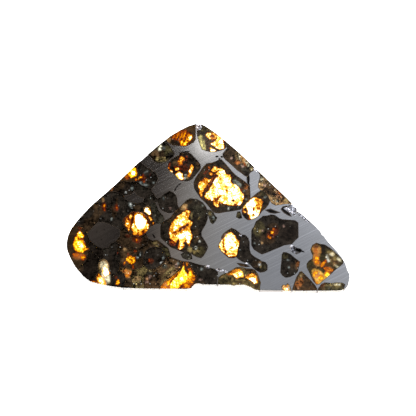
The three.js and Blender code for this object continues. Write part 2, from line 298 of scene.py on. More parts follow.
def spots(tree, place, ovals):
    """One inside soft ovals, each a column, row, half width, half height and turn."""
    total = 0.0
    for column, row, half_width, half_height, turn in ovals:
        lengths = (half_width * COLUMN, half_height * COLUMN, FACE_HEIGHT)
        centre = (*at(column, row), FACE_HEIGHT)
        round_it = turned(tree, place, math.radians(turn), lengths, centre)
        ball = add(tree, "TexGradient", {"Vector": round_it}, gradient_type="SPHERICAL")
        total = arithmetic(tree, "MAXIMUM", ball.outputs["Fac"], total)
    return ramp_between(tree, total, *RUST_AND_SHADE_EDGE)


def mixed(tree, first, second, share):
    """A colour between two, each a plain colour or a socket."""
    first, second = (c if isinstance(c, bpy.types.NodeSocket) else (*c, 1) for c in (first, second))
    inputs = {"A": first, "B": second, "Factor": share}
    return add(tree, "Mix", inputs, data_type="RGBA").outputs["Result"]


def scaled(tree, colour, share):
    """A colour made brighter or darker."""
    return add(tree, "VectorMath", {0: colour, "Scale": share}, operation="SCALE").outputs["Vector"]


def relief(tree, height, strength, depth):
    """The normals of a surface that is rough with a height, down to a depth in metres."""
    return add(tree, "Bump", {"Height": height, "Strength": strength, "Distance": depth}).outputs["Normal"]


def polished_iron(tree):
    plus, _, times, ramp = sums(tree)
    place = add(tree, "TexCoord").outputs["Object"]
    scratches = texture(tree, "TexNoise", turned(tree, place, SCRATCH_TURN, SCRATCH_LENGTHS), 1.0, 5)["Fac"]
    strokes = texture(tree, "TexNoise", turned(tree, place, SCRATCH_TURN, STROKE_LENGTHS), 1.0, 3)["Fac"]
    tone = mixed(tree, *IRON_TONES, texture(tree, "TexNoise", place, GRAINS_PER_METRE, 6)["Fac"])
    # Painted sheen: the colour is streaked lighter and darker along the scratches and strokes.
    painted_sheen = plus(ramp(scratches, *SCRATCH_PAINTED_SHEEN), ramp(strokes, *STROKE_PAINTED_SHEEN))
    wall = off_the_faces(tree, place)
    tone = mixed(tree, scaled(tree, tone, painted_sheen), GROUND_IRON, wall)
    surface = add(tree, "BsdfPrincipled", {
        "Metallic": 1,
        # Painted shade with rust: the pits and cracks are mixed to near black.
        "Base Color": mixed(tree, tone, RUST_AND_SHADE, spots(tree, place, RUST_AND_SHADE_SPOTS)),
        "Roughness": plus(ramp(scratches, *FACE_ROUGHNESS), times(wall, WALL_ROUGHNESS)),
        "Normal": relief(tree, scratches, SCRATCH_STRENGTH, SCRATCH_DEPTH),
    })
    return {"Surface": surface.outputs["BSDF"]}


def finish_nodes(names, material):
    """Gives the CAD nodes that stay as they are their material."""
    for name in names:
        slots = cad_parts[name].data.materials
        slots.clear()
        slots.append(material)


finish_nodes(METAL_NODES, new_material("polished_iron_nickel", polished_iron))

# The walls of every crystal and of the metal, taken half way up from the CAD nodes, and the rim of
# the whole slice, drawn in columns and rows of the view. The pieces below are built on these.
CRYSTAL_NODES = [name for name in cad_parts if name.startswith("olivine_")]
TROILITE_NODES = [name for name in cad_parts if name.startswith("troilite_")]
WALL_SPACING = 0.28 * MM
GROWTH = 0.12 * MM
RIM_STEP = 0.02 * MM
# How near points may be to count as one, in a section, a fill and a web; how near the points of a
# wall may come, how far a sharp corner is let out, and how many spacings a fill keeps off its lip.
SAME_PLACE = 1e-7
SAME_IN_FILL = 1e-9
SAME_IN_WEB = 1e-8
SMALLEST_STEP = 0.3 * WALL_SPACING
SHARPEST = 0.4
CLEAR_OF_LIP = 0.55


def cross_section(node):
    """The closed loops of a CAD node's walls half way up, as arrays of x and y."""
    solid = bmesh.new()
    solid.from_mesh(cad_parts[node].data)
    bmesh.ops.remove_doubles(solid, verts=solid.verts, dist=SAME_PLACE)
    everything = solid.verts[:] + solid.edges[:] + solid.faces[:]
    level = Vector((0, 0, FACE_HEIGHT / 2))
    bmesh.ops.bisect_plane(
        solid, geom=everything, plane_co=level, plane_no=(0, 0, 1), clear_inner=True, clear_outer=True
    )
    loops = []
    unused = set(solid.verts)
    while unused:
        first = unused.pop()
        loop = [first]
        here = first
        while True:
            ahead = [e.other_vert(here) for e in here.link_edges if e.other_vert(here) in unused]
            if not ahead:
                break
            here = ahead[0]
            unused.discard(here)
            loop.append(here)
        loops.append(np.array([(v.co.x, v.co.y) for v in loop]))
    solid.free()
    return loops


def counter_clockwise(loop):
    after = np.roll(loop, -1, axis=0)
    area = np.sum(loop[:, 0] * after[:, 1] - after[:, 0] * loop[:, 1])
    return loop[::-1] if area < 0 else loop


def inside(points, loops):
    """Which points lie inside a set of loops, holes counted out."""
    x, y = points[:, 0][:, None], points[:, 1][:, None]
    crossings = np.zeros(len(points), int)
    for loop in loops:
        after = np.roll(loop, -1, axis=0)
        x0, y0, x1, y1 = loop[:, 0], loop[:, 1], after[:, 0], after[:, 1]
        spans = (y0 > y) != (y1 > y)
        rise = np.where(y1 == y0, 1, y1 - y0)
        crossings += np.sum(spans & (x < x0 + (y - y0) / rise * (x1 - x0)), axis=1)
    return crossings % 2 == 1


sections = {name: cross_section(name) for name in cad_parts}

RIM = """
    196,122.8 201,123.1 206,125.6 214,131 224,139 238,151 250,162.3 262,174 274,185.5 284,195
    291.5,202.6 294.5,204.8 296.8,210 301,212.8 310,220.7 316,226.3 320.5,231.3 321.8,234.2
    324,235.8 327,240.3 336,250 341,256.3 345,263 346.6,269 348.9,273.5 349,277 347.6,283
    344.5,287.4 340,289.6 325,290 300,290 275,289.7 260,289.4 255,289.2 250,286.3 244,284.1
    236.5,284.3 233.5,285.3 230.5,284.1 215,283.9 203,283.8 198.5,282.7 195,283.4 191.3,287.4
    186,288.3 176,288 150,287.9 125,287.2 110,285.3 98,282.7 91,280.8 84,275.6 76,266.3 71,257.6
    67.6,249.5 67,243 68.2,236 71.5,228.6 78,219.8 90,206.7 102,196 114,185.4 124,175.8 134,166
    146,155.2 158,144.8 170,135.3 180,129.3 188,125.3
"""


def numbers_of(words):
    """The numbers of each word, which commas part."""
    return [[float(number) for number in word.split(",")] for word in words]


def on_the_slice(corners):
    """Corners in columns and rows as places in metres."""
    return np.column_stack(at(*np.array(corners).T))


def resampled(loop, spacing):
    """A loop with points at an even spacing, its own corners kept."""
    points = []
    after = np.roll(loop, -1, axis=0)
    for here, there in zip(loop, after):
        pieces = max(1, round(float(np.hypot(*(there - here))) / spacing))
        points += [here + (there - here) * k / pieces for k in range(pieces)]
    return np.array(points)


def inset(loop, distance):
    """A counter-clockwise loop moved inwards."""
    before = loop - np.roll(loop, 1, axis=0)
    after = np.roll(loop, -1, axis=0) - loop
    before /= np.hypot(*before.T)[:, None]
    after /= np.hypot(*after.T)[:, None]
    inward = np.stack([-before[:, 1] - after[:, 1], before[:, 0] + after[:, 0]], axis=1)
    return loop + distance * inward / np.maximum(1 + np.sum(before * after, axis=1), SHARPEST)[:, None]


def nearest(points, targets):
    """The nearest target to each point, and how far off it is."""
    tree = kdtree.KDTree(len(targets))
    for index, (x, y) in enumerate(targets):
        tree.insert((x, y, 0), index)
    tree.balance()
    found = [tree.find((x, y, 0)) for x, y in points]
    return np.array([index for _, index, _ in found]), np.array([distance for *_, distance in found])


rim = on_the_slice(numbers_of(RIM.split()))
fine_rim = resampled(rim, RIM_STEP)


def grown_wall(loop):
    """The wall of a crystal, grown until it all but touches its neighbours, but not past the rim."""
    wall = inset(resampled(counter_clockwise(loop), WALL_SPACING), -GROWTH)
    past = ~inside(wall, [rim])
    if past.any():
        wall[past] = fine_rim[nearest(wall[past], fine_rim)[0]]
    step = np.hypot(*(wall - np.roll(wall, 1, axis=0)).T)
    return wall[step > SMALLEST_STEP]


def filled(lip, spacing):
    """A loop filled with even triangles: its points, its triangles, and the points on the loop."""
    low, high = lip.min(axis=0), lip.max(axis=0)
    across = np.arange(low[0], high[0], spacing)
    up = np.arange(low[1], high[1], spacing * math.sqrt(3) / 2)
    lattice = np.array([(x + (j % 2) * spacing / 2, y) for j, y in enumerate(up) for x in across])
    lattice = lattice[inside(lattice, [lip])]
    lattice = lattice[nearest(lattice, resampled(lip, spacing / 2))[1] > CLEAR_OF_LIP * spacing]
    count = len(lip)
    points = [Vector(p) for p in np.concatenate([lip, lattice])]
    boundary = [list(range(count))]
    verts, _, faces, origins, *_ = geometry.delaunay_2d_cdt(points, [], boundary, 1, SAME_IN_FILL)
    found = {source: index for index, sources in enumerate(origins) for source in sources}
    return np.array([(v.x, v.y) for v in verts]), faces, [found[i] for i in range(count)]


def stacked(name, flat, faces, ring, layers):
    """A closed mesh between two filled loops, with rings of points between them.

    The layers go upwards: the heights of the lower face, the plan and height of each ring
    between, and the heights of the upper face.
    """
    count, size = len(ring), len(flat)
    lower, between, upper = layers
    positions = [np.column_stack([flat, upper]), np.column_stack([flat, lower])]
    positions += [np.column_stack([plan, np.full(count, z)]) for plan, z in between]
    starts = [2 * size + k * count for k in range(len(between))]
    rings = [[i + size for i in ring], *(list(range(start, start + count)) for start in starts), ring]
    polygons = [tuple(f) for f in faces]
    polygons += [tuple(i + size for i in reversed(f)) for f in faces]
    for below, above in zip(rings, rings[1:]):
        for i in range(count):
            j = (i + 1) % count
            polygons.append((below[i], below[j], above[j], above[i]))
    positions = np.concatenate(positions)
    mesh = bpy.data.meshes.new(name)
    mesh.from_pydata(positions.tolist(), [], polygons)
    return mesh, positions


walls = {name: grown_wall(sections[name][0]) for name in CRYSTAL_NODES}

# The seams: black weathered rust and sulphide that fills every grain boundary at both faces,
# between the crystals and between crystal and metal. Each face has its own thin web.
FILM_DEPTH = 0.03 * MM
FILM_THICKNESS = 0.04 * MM
FILM_OVERLAP = 0.024 * MM
FILM_TONES = ((0.05, 0.036, 0.026), (0.13, 0.095, 0.068))
STAINS_PER_METRE = 700
SHRINK = 0.998


def web_mesh(name, loops, region):
    """The two thin webs: what a region test keeps of the ground between loops, at each face."""
    points = []
    edges = []
    for loop in loops:
        start = len(points)
        points += [Vector(p) for p in loop]
        edges += [(start + i, start + (i + 1) % len(loop)) for i in range(len(loop))]
    verts, _, faces, *_ = geometry.delaunay_2d_cdt(points, edges, [], 0, SAME_IN_WEB)
    flat = np.array([(v.x, v.y) for v in verts])
    triangles = np.array(faces)
    triangles = triangles[region(flat[triangles].mean(axis=1))]
    web = bmesh.new()
    for low in (FILM_DEPTH, FACE_HEIGHT - FILM_DEPTH - FILM_THICKNESS):
        ground = [web.verts.new((x, y, low)) for x, y in flat]
        floor = [web.faces.new([ground[i] for i in corner]) for corner in triangles]
        raised = bmesh.ops.extrude_face_region(web, geom=floor, use_keep_orig=True)
        top = [v for v in raised["geom"] if isinstance(v, bmesh.types.BMVert)]
        bmesh.ops.translate(web, verts=top, vec=(0, 0, FILM_THICKNESS))
    bmesh.ops.delete(web, geom=[v for v in web.verts if not v.link_faces], context="VERTS")
    bmesh.ops.recalc_face_normals(web, faces=web.faces)
    mesh = bpy.data.meshes.new(name)
    web.to_mesh(mesh)
    web.free()
    return mesh


def film_matter(tree):
    stain = texture(tree, "TexNoise", add(tree, "TexCoord").outputs["Object"], STAINS_PER_METRE)["Fac"]
    surface = add(tree, "BsdfPrincipled", {"Base Color": mixed(tree, *FILM_TONES, stain), "Roughness": 0.6})
    return {"Surface": surface.outputs["BSDF"]}


def place_piece(name, mesh, material, nodes=()):
    """Puts a finished mesh into the frame as a piece of the slice."""
    mesh.materials.append(material)
    piece = bpy.data.objects.new(name, mesh)
    COLLECTION.objects.link(piece)
    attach(piece, "root")
    if nodes:
        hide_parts(*nodes)


edges = {name: sections[name] for name in METAL_NODES + TROILITE_NODES}
edges |= {name: [inset(wall, FILM_OVERLAP)] for name, wall in walls.items()}
inner_rim = rim * SHRINK


def in_a_seam(points):
    seam = inside(points, [inner_rim])
    for loops in edges.values():
        seam &= ~inside(points, loops)
    return seam


every_loop = [loop for loops in edges.values() for loop in loops]
seams = web_mesh("seam_film", [*every_loop, inner_rim], in_a_seam)
place_piece("seam_film", seams, new_material("seam_film", film_matter))

# The breaks: spots where the saw or a knock tore the metal's skin, so that it is crumpled into
# bright little facets. They lie on the metal as it is, down into the chipped corner of the rim.
BREAK_SPACING = 0.17 * MM
BREAK_HEIGHT = 0.09 * MM
BREAK_SINK = 0.02 * MM
DIRT_PER_METRE = 1700
DIRT_EDGE = (0.38, 0.56, 0.0, 1.0)
TORN_TONES = ((0.1, 0.09, 0.09), (0.9, 0.9, 0.95))
BREAKS = """
corner_break 288,208.5 289.5,205.5 292,203.6 294.5,205.2 297,209.6 296.6,212 293.5,211.2 291,209.6

corner_splinter 283.5,208.5 287.5,207.2 290.5,209.5 293.5,212 296.5,215.6 294.6,216.4 290,213 286,210.6

rim_graze 297,212.4 301,214.6 306,219.2 309,222.6 307.4,223 303,219.6 298.4,215.4

apex_break 196,123.4 200,123.7 202,126 200.6,129 197.4,130 195.6,127

crescent_break 288.8,246.6 291,244.4 293.8,245.2 295.4,247.2 294.2,248.4 296.4,249.6 295.4,251.4
    293,253.6 290.4,251.4

south_break 205.4,265 208.6,264.4 210.6,266.4 208.6,268.4 205.6,267.6

south_graze 215,268.6 218.6,267.6 223,269.4 228,270.6 227.6,272.4 222,272.2 216.4,271

seam_glint 238.6,235.4 240.6,234.2 241.8,235.6 240.4,237.2

rim_glint 253.2,167.6 255,168.2 257.4,170.4 257.6,172.2 255.8,172 253.8,170.2

neck_glint 244,262.8 246.4,262.2 248.4,263.2 246.6,264.2
"""


def drawn_pieces(text):
    """The pieces of a drawing, which blank lines part: a name each, and the words after it."""
    for block in text.strip().split("\n\n"):
        name, *words = block.split()
        yield name, words


def metal_below(points):
    """How high the metal lies under each point, or the face's height where there is none."""
    heights = np.full(len(points), FACE_HEIGHT)
    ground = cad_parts["iron_nickel_matrix"]
    for index, (x, y) in enumerate(points):
        struck, place, *_ = ground.ray_cast(Vector((x, y, 1)), Vector((0, 0, -1)))
        if struck:
            heights[index] = place.z
    return heights


def crumpled_mesh(name, corners):
    """A thin crumpled skin that lies on the metal inside an outline."""
    loop = resampled(counter_clockwise(on_the_slice(numbers_of(corners))), BREAK_SPACING)
    flat, faces, ring = filled(loop, BREAK_SPACING)
    ground = metal_below(flat)
    folds = np.array([noise.noise(Vector((x / BREAK_SPACING, y / BREAK_SPACING, 0))) for x, y in flat])
    upper = ground + BREAK_HEIGHT * (0.5 + folds)
    upper[ring] = ground[ring] - BREAK_SINK
    return stacked(name, flat, faces, ring, (ground - 2 * BREAK_SINK, [], upper))[0]


def torn_iron(tree):
    dirt = texture(tree, "TexNoise", add(tree, "TexCoord").outputs["Object"], DIRT_PER_METRE)["Fac"]
    tone = mixed(tree, *TORN_TONES, ramp_between(tree, dirt, *DIRT_EDGE))
    surface = add(tree, "BsdfPrincipled", {"Base Color": tone, "Metallic": 1, "Roughness": 0.3})
    return {"Surface": surface.outputs["BSDF"]}


torn = new_material("torn_iron_nickel", torn_iron)
for name, corners in drawn_pieces(BREAKS):
    place_piece(name, crumpled_mesh(name, corners), torn)

# The olivine crystals: glassy, cracked and cloudy at their rims, clear at heart. Each is a column
# through the slice, ground flush with the metal, a hair lower as it is softer.
CAP_SPACING = 0.14 * MM
WALL_ROWS = 5
EDGE_ROUND = 0.012 * MM
EDGE_BAND = 0.06 * MM
GRAIN_RECESS = 0.02 * MM
# How the edge of a mark wanders and fades: the noise's features per metre with its share, how much
# of it there is, and the width of the fade in columns. The marks lean by this from face to face.
RAGGED = ((1100, 0.4), (2400, 0.55), (4600, 0.5))
WANDER = 0.9
FADE = 2.0
OUTLINE_STEP = 0.25
LEAN = 0.15


def column_mesh(name, wall):
    """A crystal's fine mesh, and where each of its points lies."""
    flat, faces, ring = filled(inset(wall, EDGE_ROUND), CAP_SPACING)
    low, high = GRAIN_RECESS, FACE_HEIGHT - GRAIN_RECESS
    levels = np.linspace(low + EDGE_BAND, high - EDGE_BAND, WALL_ROWS)
    between = [(wall, z) for z in (low + EDGE_ROUND, *levels, high - EDGE_ROUND)]
    layers = (np.full(len(flat), low), between, np.full(len(flat), high))
    return stacked(name, flat, faces, ring, layers)


def seen(red, green, blue):
    """A colour as the eye meets it on the table, 0 to 255, as the stone's own share of the light."""
    shares = []
    for value in (red, green, blue):
        value /= 255
        linear = value / 12.92 if value <= 0.04045 else ((value + 0.055) / 1.055) ** 2.4
        shares.append(linear / TABLE_GLOW)
    return np.array(shares)


# The pearl tone is a painted glint, the small white highlights on the stone's face; the steel and milk tones
# paint glints in some marks, and the stone's own grey haze and clear glow in others.
TONES = {
    "black": seen(30, 25, 21),
    "soot": seen(38, 34, 30),
    "slate": seen(52, 50, 43),
    "steel": seen(120, 130, 130),
    "pearl": seen(215, 220, 220),
    "moss": seen(62, 57, 38),
    "straw": seen(138, 122, 80),
    "lime": seen(205, 198, 130),
    "olive": seen(96, 84, 54),
    "umber": seen(74, 56, 38),
    "bark": seen(54, 42, 30),
    "tan": seen(160, 128, 88),
    "copper": seen(165, 100, 52),
    "peach": seen(205, 150, 110),
    "pink": seen(165, 135, 125),
    "russet": seen(82, 38, 22),
    "cream": seen(235, 225, 195),
    "milk": seen(246, 244, 218),
    "honey": seen(178, 128, 68),
    "gold": seen(226, 178, 86),
}


def marks_in(words):
    """Each mark as its shape and what it holds: a tone, a clearness, or a loss of it below nought.

    What a mark holds comes first. A shape is the corners of an outline as columns and rows, or an
    oval as column, row, half width, half height and turn; more ovals may hold the same.
    """
    marks = []
    for word in words:
        if "," not in word:
            held = word if word in TONES else float(word)
            outline = []
            continue
        (numbers,) = numbers_of([word])
        if len(numbers) > 2:
            marks.append((numbers, held))
            continue
        if not outline:
            marks.append((outline, held))
        outline.append(numbers)
    return marks


def depth_inside(shape, places):
    """How far inside an outline or an oval each place is, in columns, below nought outside."""
    if isinstance(shape[0], list):
        outline = np.array(shape)
        _, away = nearest(places, resampled(outline, OUTLINE_STEP))
        return np.where(inside(places, [outline]), away, -away)
    column, row, half_width, half_height, turn = (*shape, 0)[:5]
    cos, sin = math.cos(math.radians(turn)), math.sin(math.radians(turn))
    across, down = places[:, 0] - column, places[:, 1] - row
    reach = np.hypot((across * cos - down * sin) / half_width, (across * sin + down * cos) / half_height)
    return (1 - reach) * min(half_width, half_height)


def soft_step(value):
    value = np.clip(value, 0, 1)
    return value * value * (3 - 2 * value)


def paint(mesh, positions, tone, marks):
    """Stores how clear the stone is, and its cloudy colour with its painted glints, at every point of a
    crystal.

    The marks lean a little from face to face, as the clear threads in the stone do. The walls stay
    clear, all but the rings next to the faces, so that what shines up along them keeps the colour
    of the faces alone.
    """
    across = positions[:, 0]
    up = positions[:, 1] + LEAN * (positions[:, 2] - FACE_HEIGHT)
    places = np.column_stack([across / COLUMN + MIDDLE_COLUMN, MIDDLE_ROW - up / ROW])
    ragged = np.zeros(len(places))
    for scale, amount in RAGGED:
        waves = [noise.noise(Vector((x * scale, y * scale, 0))) for x, y in zip(across, up)]
        ragged += amount * np.array(waves)
    off_middle = np.abs(positions[:, 2] - FACE_HEIGHT / 2)
    on_wall = off_middle < FACE_HEIGHT / 2 - GRAIN_RECESS - 2 * EDGE_ROUND
    clear = np.zeros(len(places))
    cloud_and_glints = np.tile(TONES[tone], (len(places), 1))
    for shape, held in marks:
        share = soft_step(0.5 + (depth_inside(shape, places) + WANDER * ragged) / FADE)
        if isinstance(held, str):
            cloud_and_glints += share[:, None] * (TONES[held] - cloud_and_glints)
        elif held > 0:
            clear = np.maximum(clear, held * share)
        else:
            clear *= 1 + held * share
    clear[on_wall] = 1
    mesh.attributes.new("clear", "FLOAT", "POINT").data.foreach_set("value", clear.astype(np.float32))
    rgba = np.column_stack([cloud_and_glints, np.ones(len(places))]).astype(np.float32)
    mesh.attributes.new("cloud_and_glints", "FLOAT_COLOR", "POINT").data.foreach_set("color", rgba.ravel())


# What the light meets in the stone, in features per metre.
BLOTCHES = 1300
GRAIN = 3600
BLOCKS = 1100
CRACKS = 620
CRUMBS = 1500
HAZE = 420
FLECKS = 850
PAINTED_GLINTS = 1500
BEND = 0.0006
# Its ramps. Where two go together, such as crack and cracked, the second says where the first lies.
RAMPS = {
    "crack": (0.0, 0.07, 1.0, 0.0),
    "cracked": (0.45, 0.58, 0.0, 1.0),
    "craze": (0.0, 0.14, 1.0, 0.0),
    "crazed": (0.42, 0.56, 0.9, 0.0),
    "fringe": (0.7, 1.05, 1.7, 1.0),
    "lit": (0.02, 0.4, 0.0, 1.0),
    "through": (0.0, 0.15, 0.0, 1.0),
    "mottle": (0.75, 1.3, -0.7, 0.8),
    "haze": (0.35, 0.68, -0.45, 0.55),
    "fleck": (0.04, 0.2, 1.0, 0.0),
    "flecked": (0.55, 1.0, 0.0, 7.0),
    "cover": (0.1, 0.6, 1.0, 0.1),
    # Painted glints: which cells hold a pale speck, and how bright it is.
    "glint_cells": (0.05, 0.25, 1.0, 0.0),
    "glint_chosen": (0.82, 1.0, 0.0, 0.26),
}
# What is taken off each texture, and how much of the rest makes the clearness wobble.
WOBBLES = {"blotch": (0.55, 0.7), "grain": (0.52, 0.8), "block": (0.7, 0.25)}
CRACK_LOSS = 0.34
CRAZE_LOSS = 0.15
CRACK_RELIEF = 0.8
# How fast the depth grows as the clearness goes: steeply at the end, and evenly before it.
STEEP_POWER = 4.0
STEEP_DEPTH = 8.0
EVEN_DEPTH = 6.0
# The share of red and green that one step of depth lets through, and the colour of the painted glints.
RED_SHARE = 0.6
GREEN_SHARE = 0.39
PAINTED_GLINT_COLOUR = (0.85, 0.95, 1.0)


def olivine_light():
    """The node group that turns clearness and cloud into the colour that the stone lets through, with
    painted glints added.
    """
    tree = bpy.data.node_groups.new("olivine_light", "ShaderNodeTree")
    faces = {
        "INPUT": {"Clear": "Float", "Cloud_and_glints": "Color", "Speckle": "Float", "Grit": "Float", "Blue": "Float"},
        "OUTPUT": {"Colour": "Color", "Relief": "Float", "Ground": "Float"},
    }
    for side, sockets in faces.items():
        for name, kind in sockets.items():
            tree.interface.new_socket(name, in_out=side, socket_type="NodeSocket" + kind)
    entry = tree.nodes.new("NodeGroupInput").outputs
    leave = tree.nodes.new("NodeGroupOutput").inputs
    plus, minus, times, _ = sums(tree)
    power = partial(arithmetic, tree, "POWER")

    def ramp(value, kind):
        return ramp_between(tree, value, *RAMPS[kind])

    def wobbling(value, kind):
        taken_off, amount = WOBBLES[kind]
        return times(minus(value, taken_off), amount)

    def cells(where, scale, **settings):
        return texture(tree, "TexVoronoi", where, scale, **settings)

    def lot(voronoi, channel):
        """A random number for each cell."""
        return add(tree, "SeparateColor", {"Color": voronoi["Color"]}).outputs[channel]

    def colour(red, green, blue):
        return add(tree, "CombineColor", {"Red": red, "Green": green, "Blue": blue}).outputs["Color"]

    def together(first, second):
        return add(tree, "VectorMath", {0: first, 1: second}, operation="ADD").outputs["Vector"]

    # The pattern goes straight through the slice at its faces, with the lean of the marks.
    bare_place = add(tree, "TexCoord").outputs["Object"]
    axes = add(tree, "SeparateXYZ", {"Vector": bare_place}).outputs
    ground = off_the_faces(tree, bare_place)
    leaning = {"X": axes["X"], "Y": plus(axes["Y"], times(axes["Z"], LEAN)), "Z": times(axes["Z"], ground)}
    place = add(tree, "CombineXYZ", leaning).outputs["Vector"]
    blotches = texture(tree, "TexNoise", place, BLOTCHES, 4)
    blotch = blotches["Fac"]
    grain = texture(tree, "TexNoise", place, GRAIN, 3)["Fac"]
    bending = {"Factor": BEND, "A": place, "B": blotches["Color"]}
    bent = add(tree, "Mix", bending, data_type="RGBA", blend_type="LINEAR_LIGHT").outputs["Result"]

    # Cracks, finer crazing, and grains and blocks of the stone make its clearness wobble.
    crack = ramp(cells(bent, CRACKS, feature="DISTANCE_TO_EDGE")["Distance"], "crack")
    crack = times(crack, ramp(blotch, "cracked"))
    craze = ramp(cells(bent, CRUMBS, feature="DISTANCE_TO_EDGE")["Distance"], "craze")
    craze = times(craze, ramp(blotch, "crazed"))
    wobble = plus(wobbling(blotch, "blotch"), wobbling(grain, "grain"))
    wobble = plus(wobble, wobbling(lot(cells(bent, BLOCKS), "Red"), "block"))
    wobble = times(times(wobble, entry["Speckle"]), ramp(entry["Clear"], "fringe"))
    wobble = minus(minus(wobble, times(crack, CRACK_LOSS)), times(craze, CRAZE_LOSS))
    clear = plus(entry["Clear"], times(wobble, ramp(entry["Clear"], "lit")))
    clear = arithmetic(tree, "MINIMUM", arithmetic(tree, "MAXIMUM", clear, 0.0), 1.0)

    # The less clear it is, the deeper the light has to go, from white to yellow, orange and red.
    shade = minus(1.0, clear)
    depth = plus(times(power(shade, STEEP_POWER), STEEP_DEPTH), times(shade, EVEN_DEPTH))
    through = ramp(clear, "through")
    shares = (RED_SHARE, GREEN_SHARE, entry["Blue"])
    amber = colour(*(times(power(share, depth), through) for share in shares))

    # The cloudy stone: mottled, with flecks, and pale specks that are painted glints.
    haze = texture(tree, "TexNoise", place, HAZE)["Fac"]
    mottle = plus(ramp(plus(blotch, grain), "mottle"), ramp(haze, "haze"))
    flecks = cells(place, FLECKS)
    fleck = times(ramp(flecks["Distance"], "fleck"), ramp(lot(flecks, "Red"), "flecked"))
    mottle = plus(times(plus(mottle, fleck), entry["Grit"]), 1.0)
    cloud_and_glints = scaled(tree, entry["Cloud_and_glints"], times(mottle, ramp(clear, "cover")))
    glint_cells = cells(place, PAINTED_GLINTS)
    painted_glint = times(ramp(glint_cells["Distance"], "glint_cells"), ramp(lot(glint_cells, "Green"), "glint_chosen"))
    painted_glint = times(painted_glint, entry["Grit"])
    pale = colour(*(times(painted_glint, share) for share in PAINTED_GLINT_COLOUR))
    tree.links.new(together(together(amber, cloud_and_glints), pale), leave["Colour"])
    tree.links.new(minus(grain, times(crack, CRACK_RELIEF)), leave["Relief"])
    tree.links.new(ground, leave["Ground"])
    return tree


LIGHT_GROUP = olivine_light()
OLIVINE_INDEX = 1.67
MUTED_GLINT = (0.3, 0.24, 0.2, 1)
GROUND_ROUGHNESS = 0.5
GROUND_COAT = 0.75
COAT_ROUGHNESS = 0.25
STONE_RELIEF = 0.3
STONE_DEPTH = 0.02 * MM


def olivine(tree, speckle, grit, blue, roughness, absorb, density):
    """Glass of olivine's index. Its colour is from the shared group, and its ground walls are matt."""
    light = add(tree, "Group", node_tree=LIGHT_GROUP)
    for key, value in (("Speckle", speckle), ("Grit", grit), ("Blue", blue)):
        light.inputs[key].default_value = value
    for key, attribute, output in (("Clear", "clear", "Fac"), ("Cloud_and_glints", "cloud_and_glints", "Color")):
        stored = add(tree, "Attribute", attribute_name=attribute).outputs[output]
        tree.links.new(stored, light.inputs[key])
    plus, _, times, _ = sums(tree)
    ground = light.outputs["Ground"]
    surface = add(tree, "BsdfPrincipled", {
        "Transmission Weight": 1,
        "IOR": OLIVINE_INDEX,
        "Specular Tint": MUTED_GLINT,
        "Base Color": light.outputs["Colour"],
        "Roughness": plus(times(ground, GROUND_ROUGHNESS), roughness),
        "Coat Weight": times(ground, GROUND_COAT),
        "Coat Roughness": COAT_ROUGHNESS,
        "Normal": relief(tree, light.outputs["Relief"], STONE_RELIEF, STONE_DEPTH),
    })
    volume = add(tree, "VolumeAbsorption", {"Color": absorb, "Density": density})
    return {"Surface": surface.outputs["BSDF"], "Volume": volume.outputs["Volume"]}


def grow(kind, slot, crystals, **stone):
    """Makes the crystals of one kind: each is drawn as its name, its cloudy tone and its marks."""
    material = new_material(kind, partial(olivine, **stone))
    for name, (tone, *words) in drawn_pieces(crystals):
        node = "olivine_" + name
        mesh, positions = column_mesh(node, walls[node])
        paint(mesh, positions, tone, marks_in(words))
        place_piece(name, mesh, material, [node])
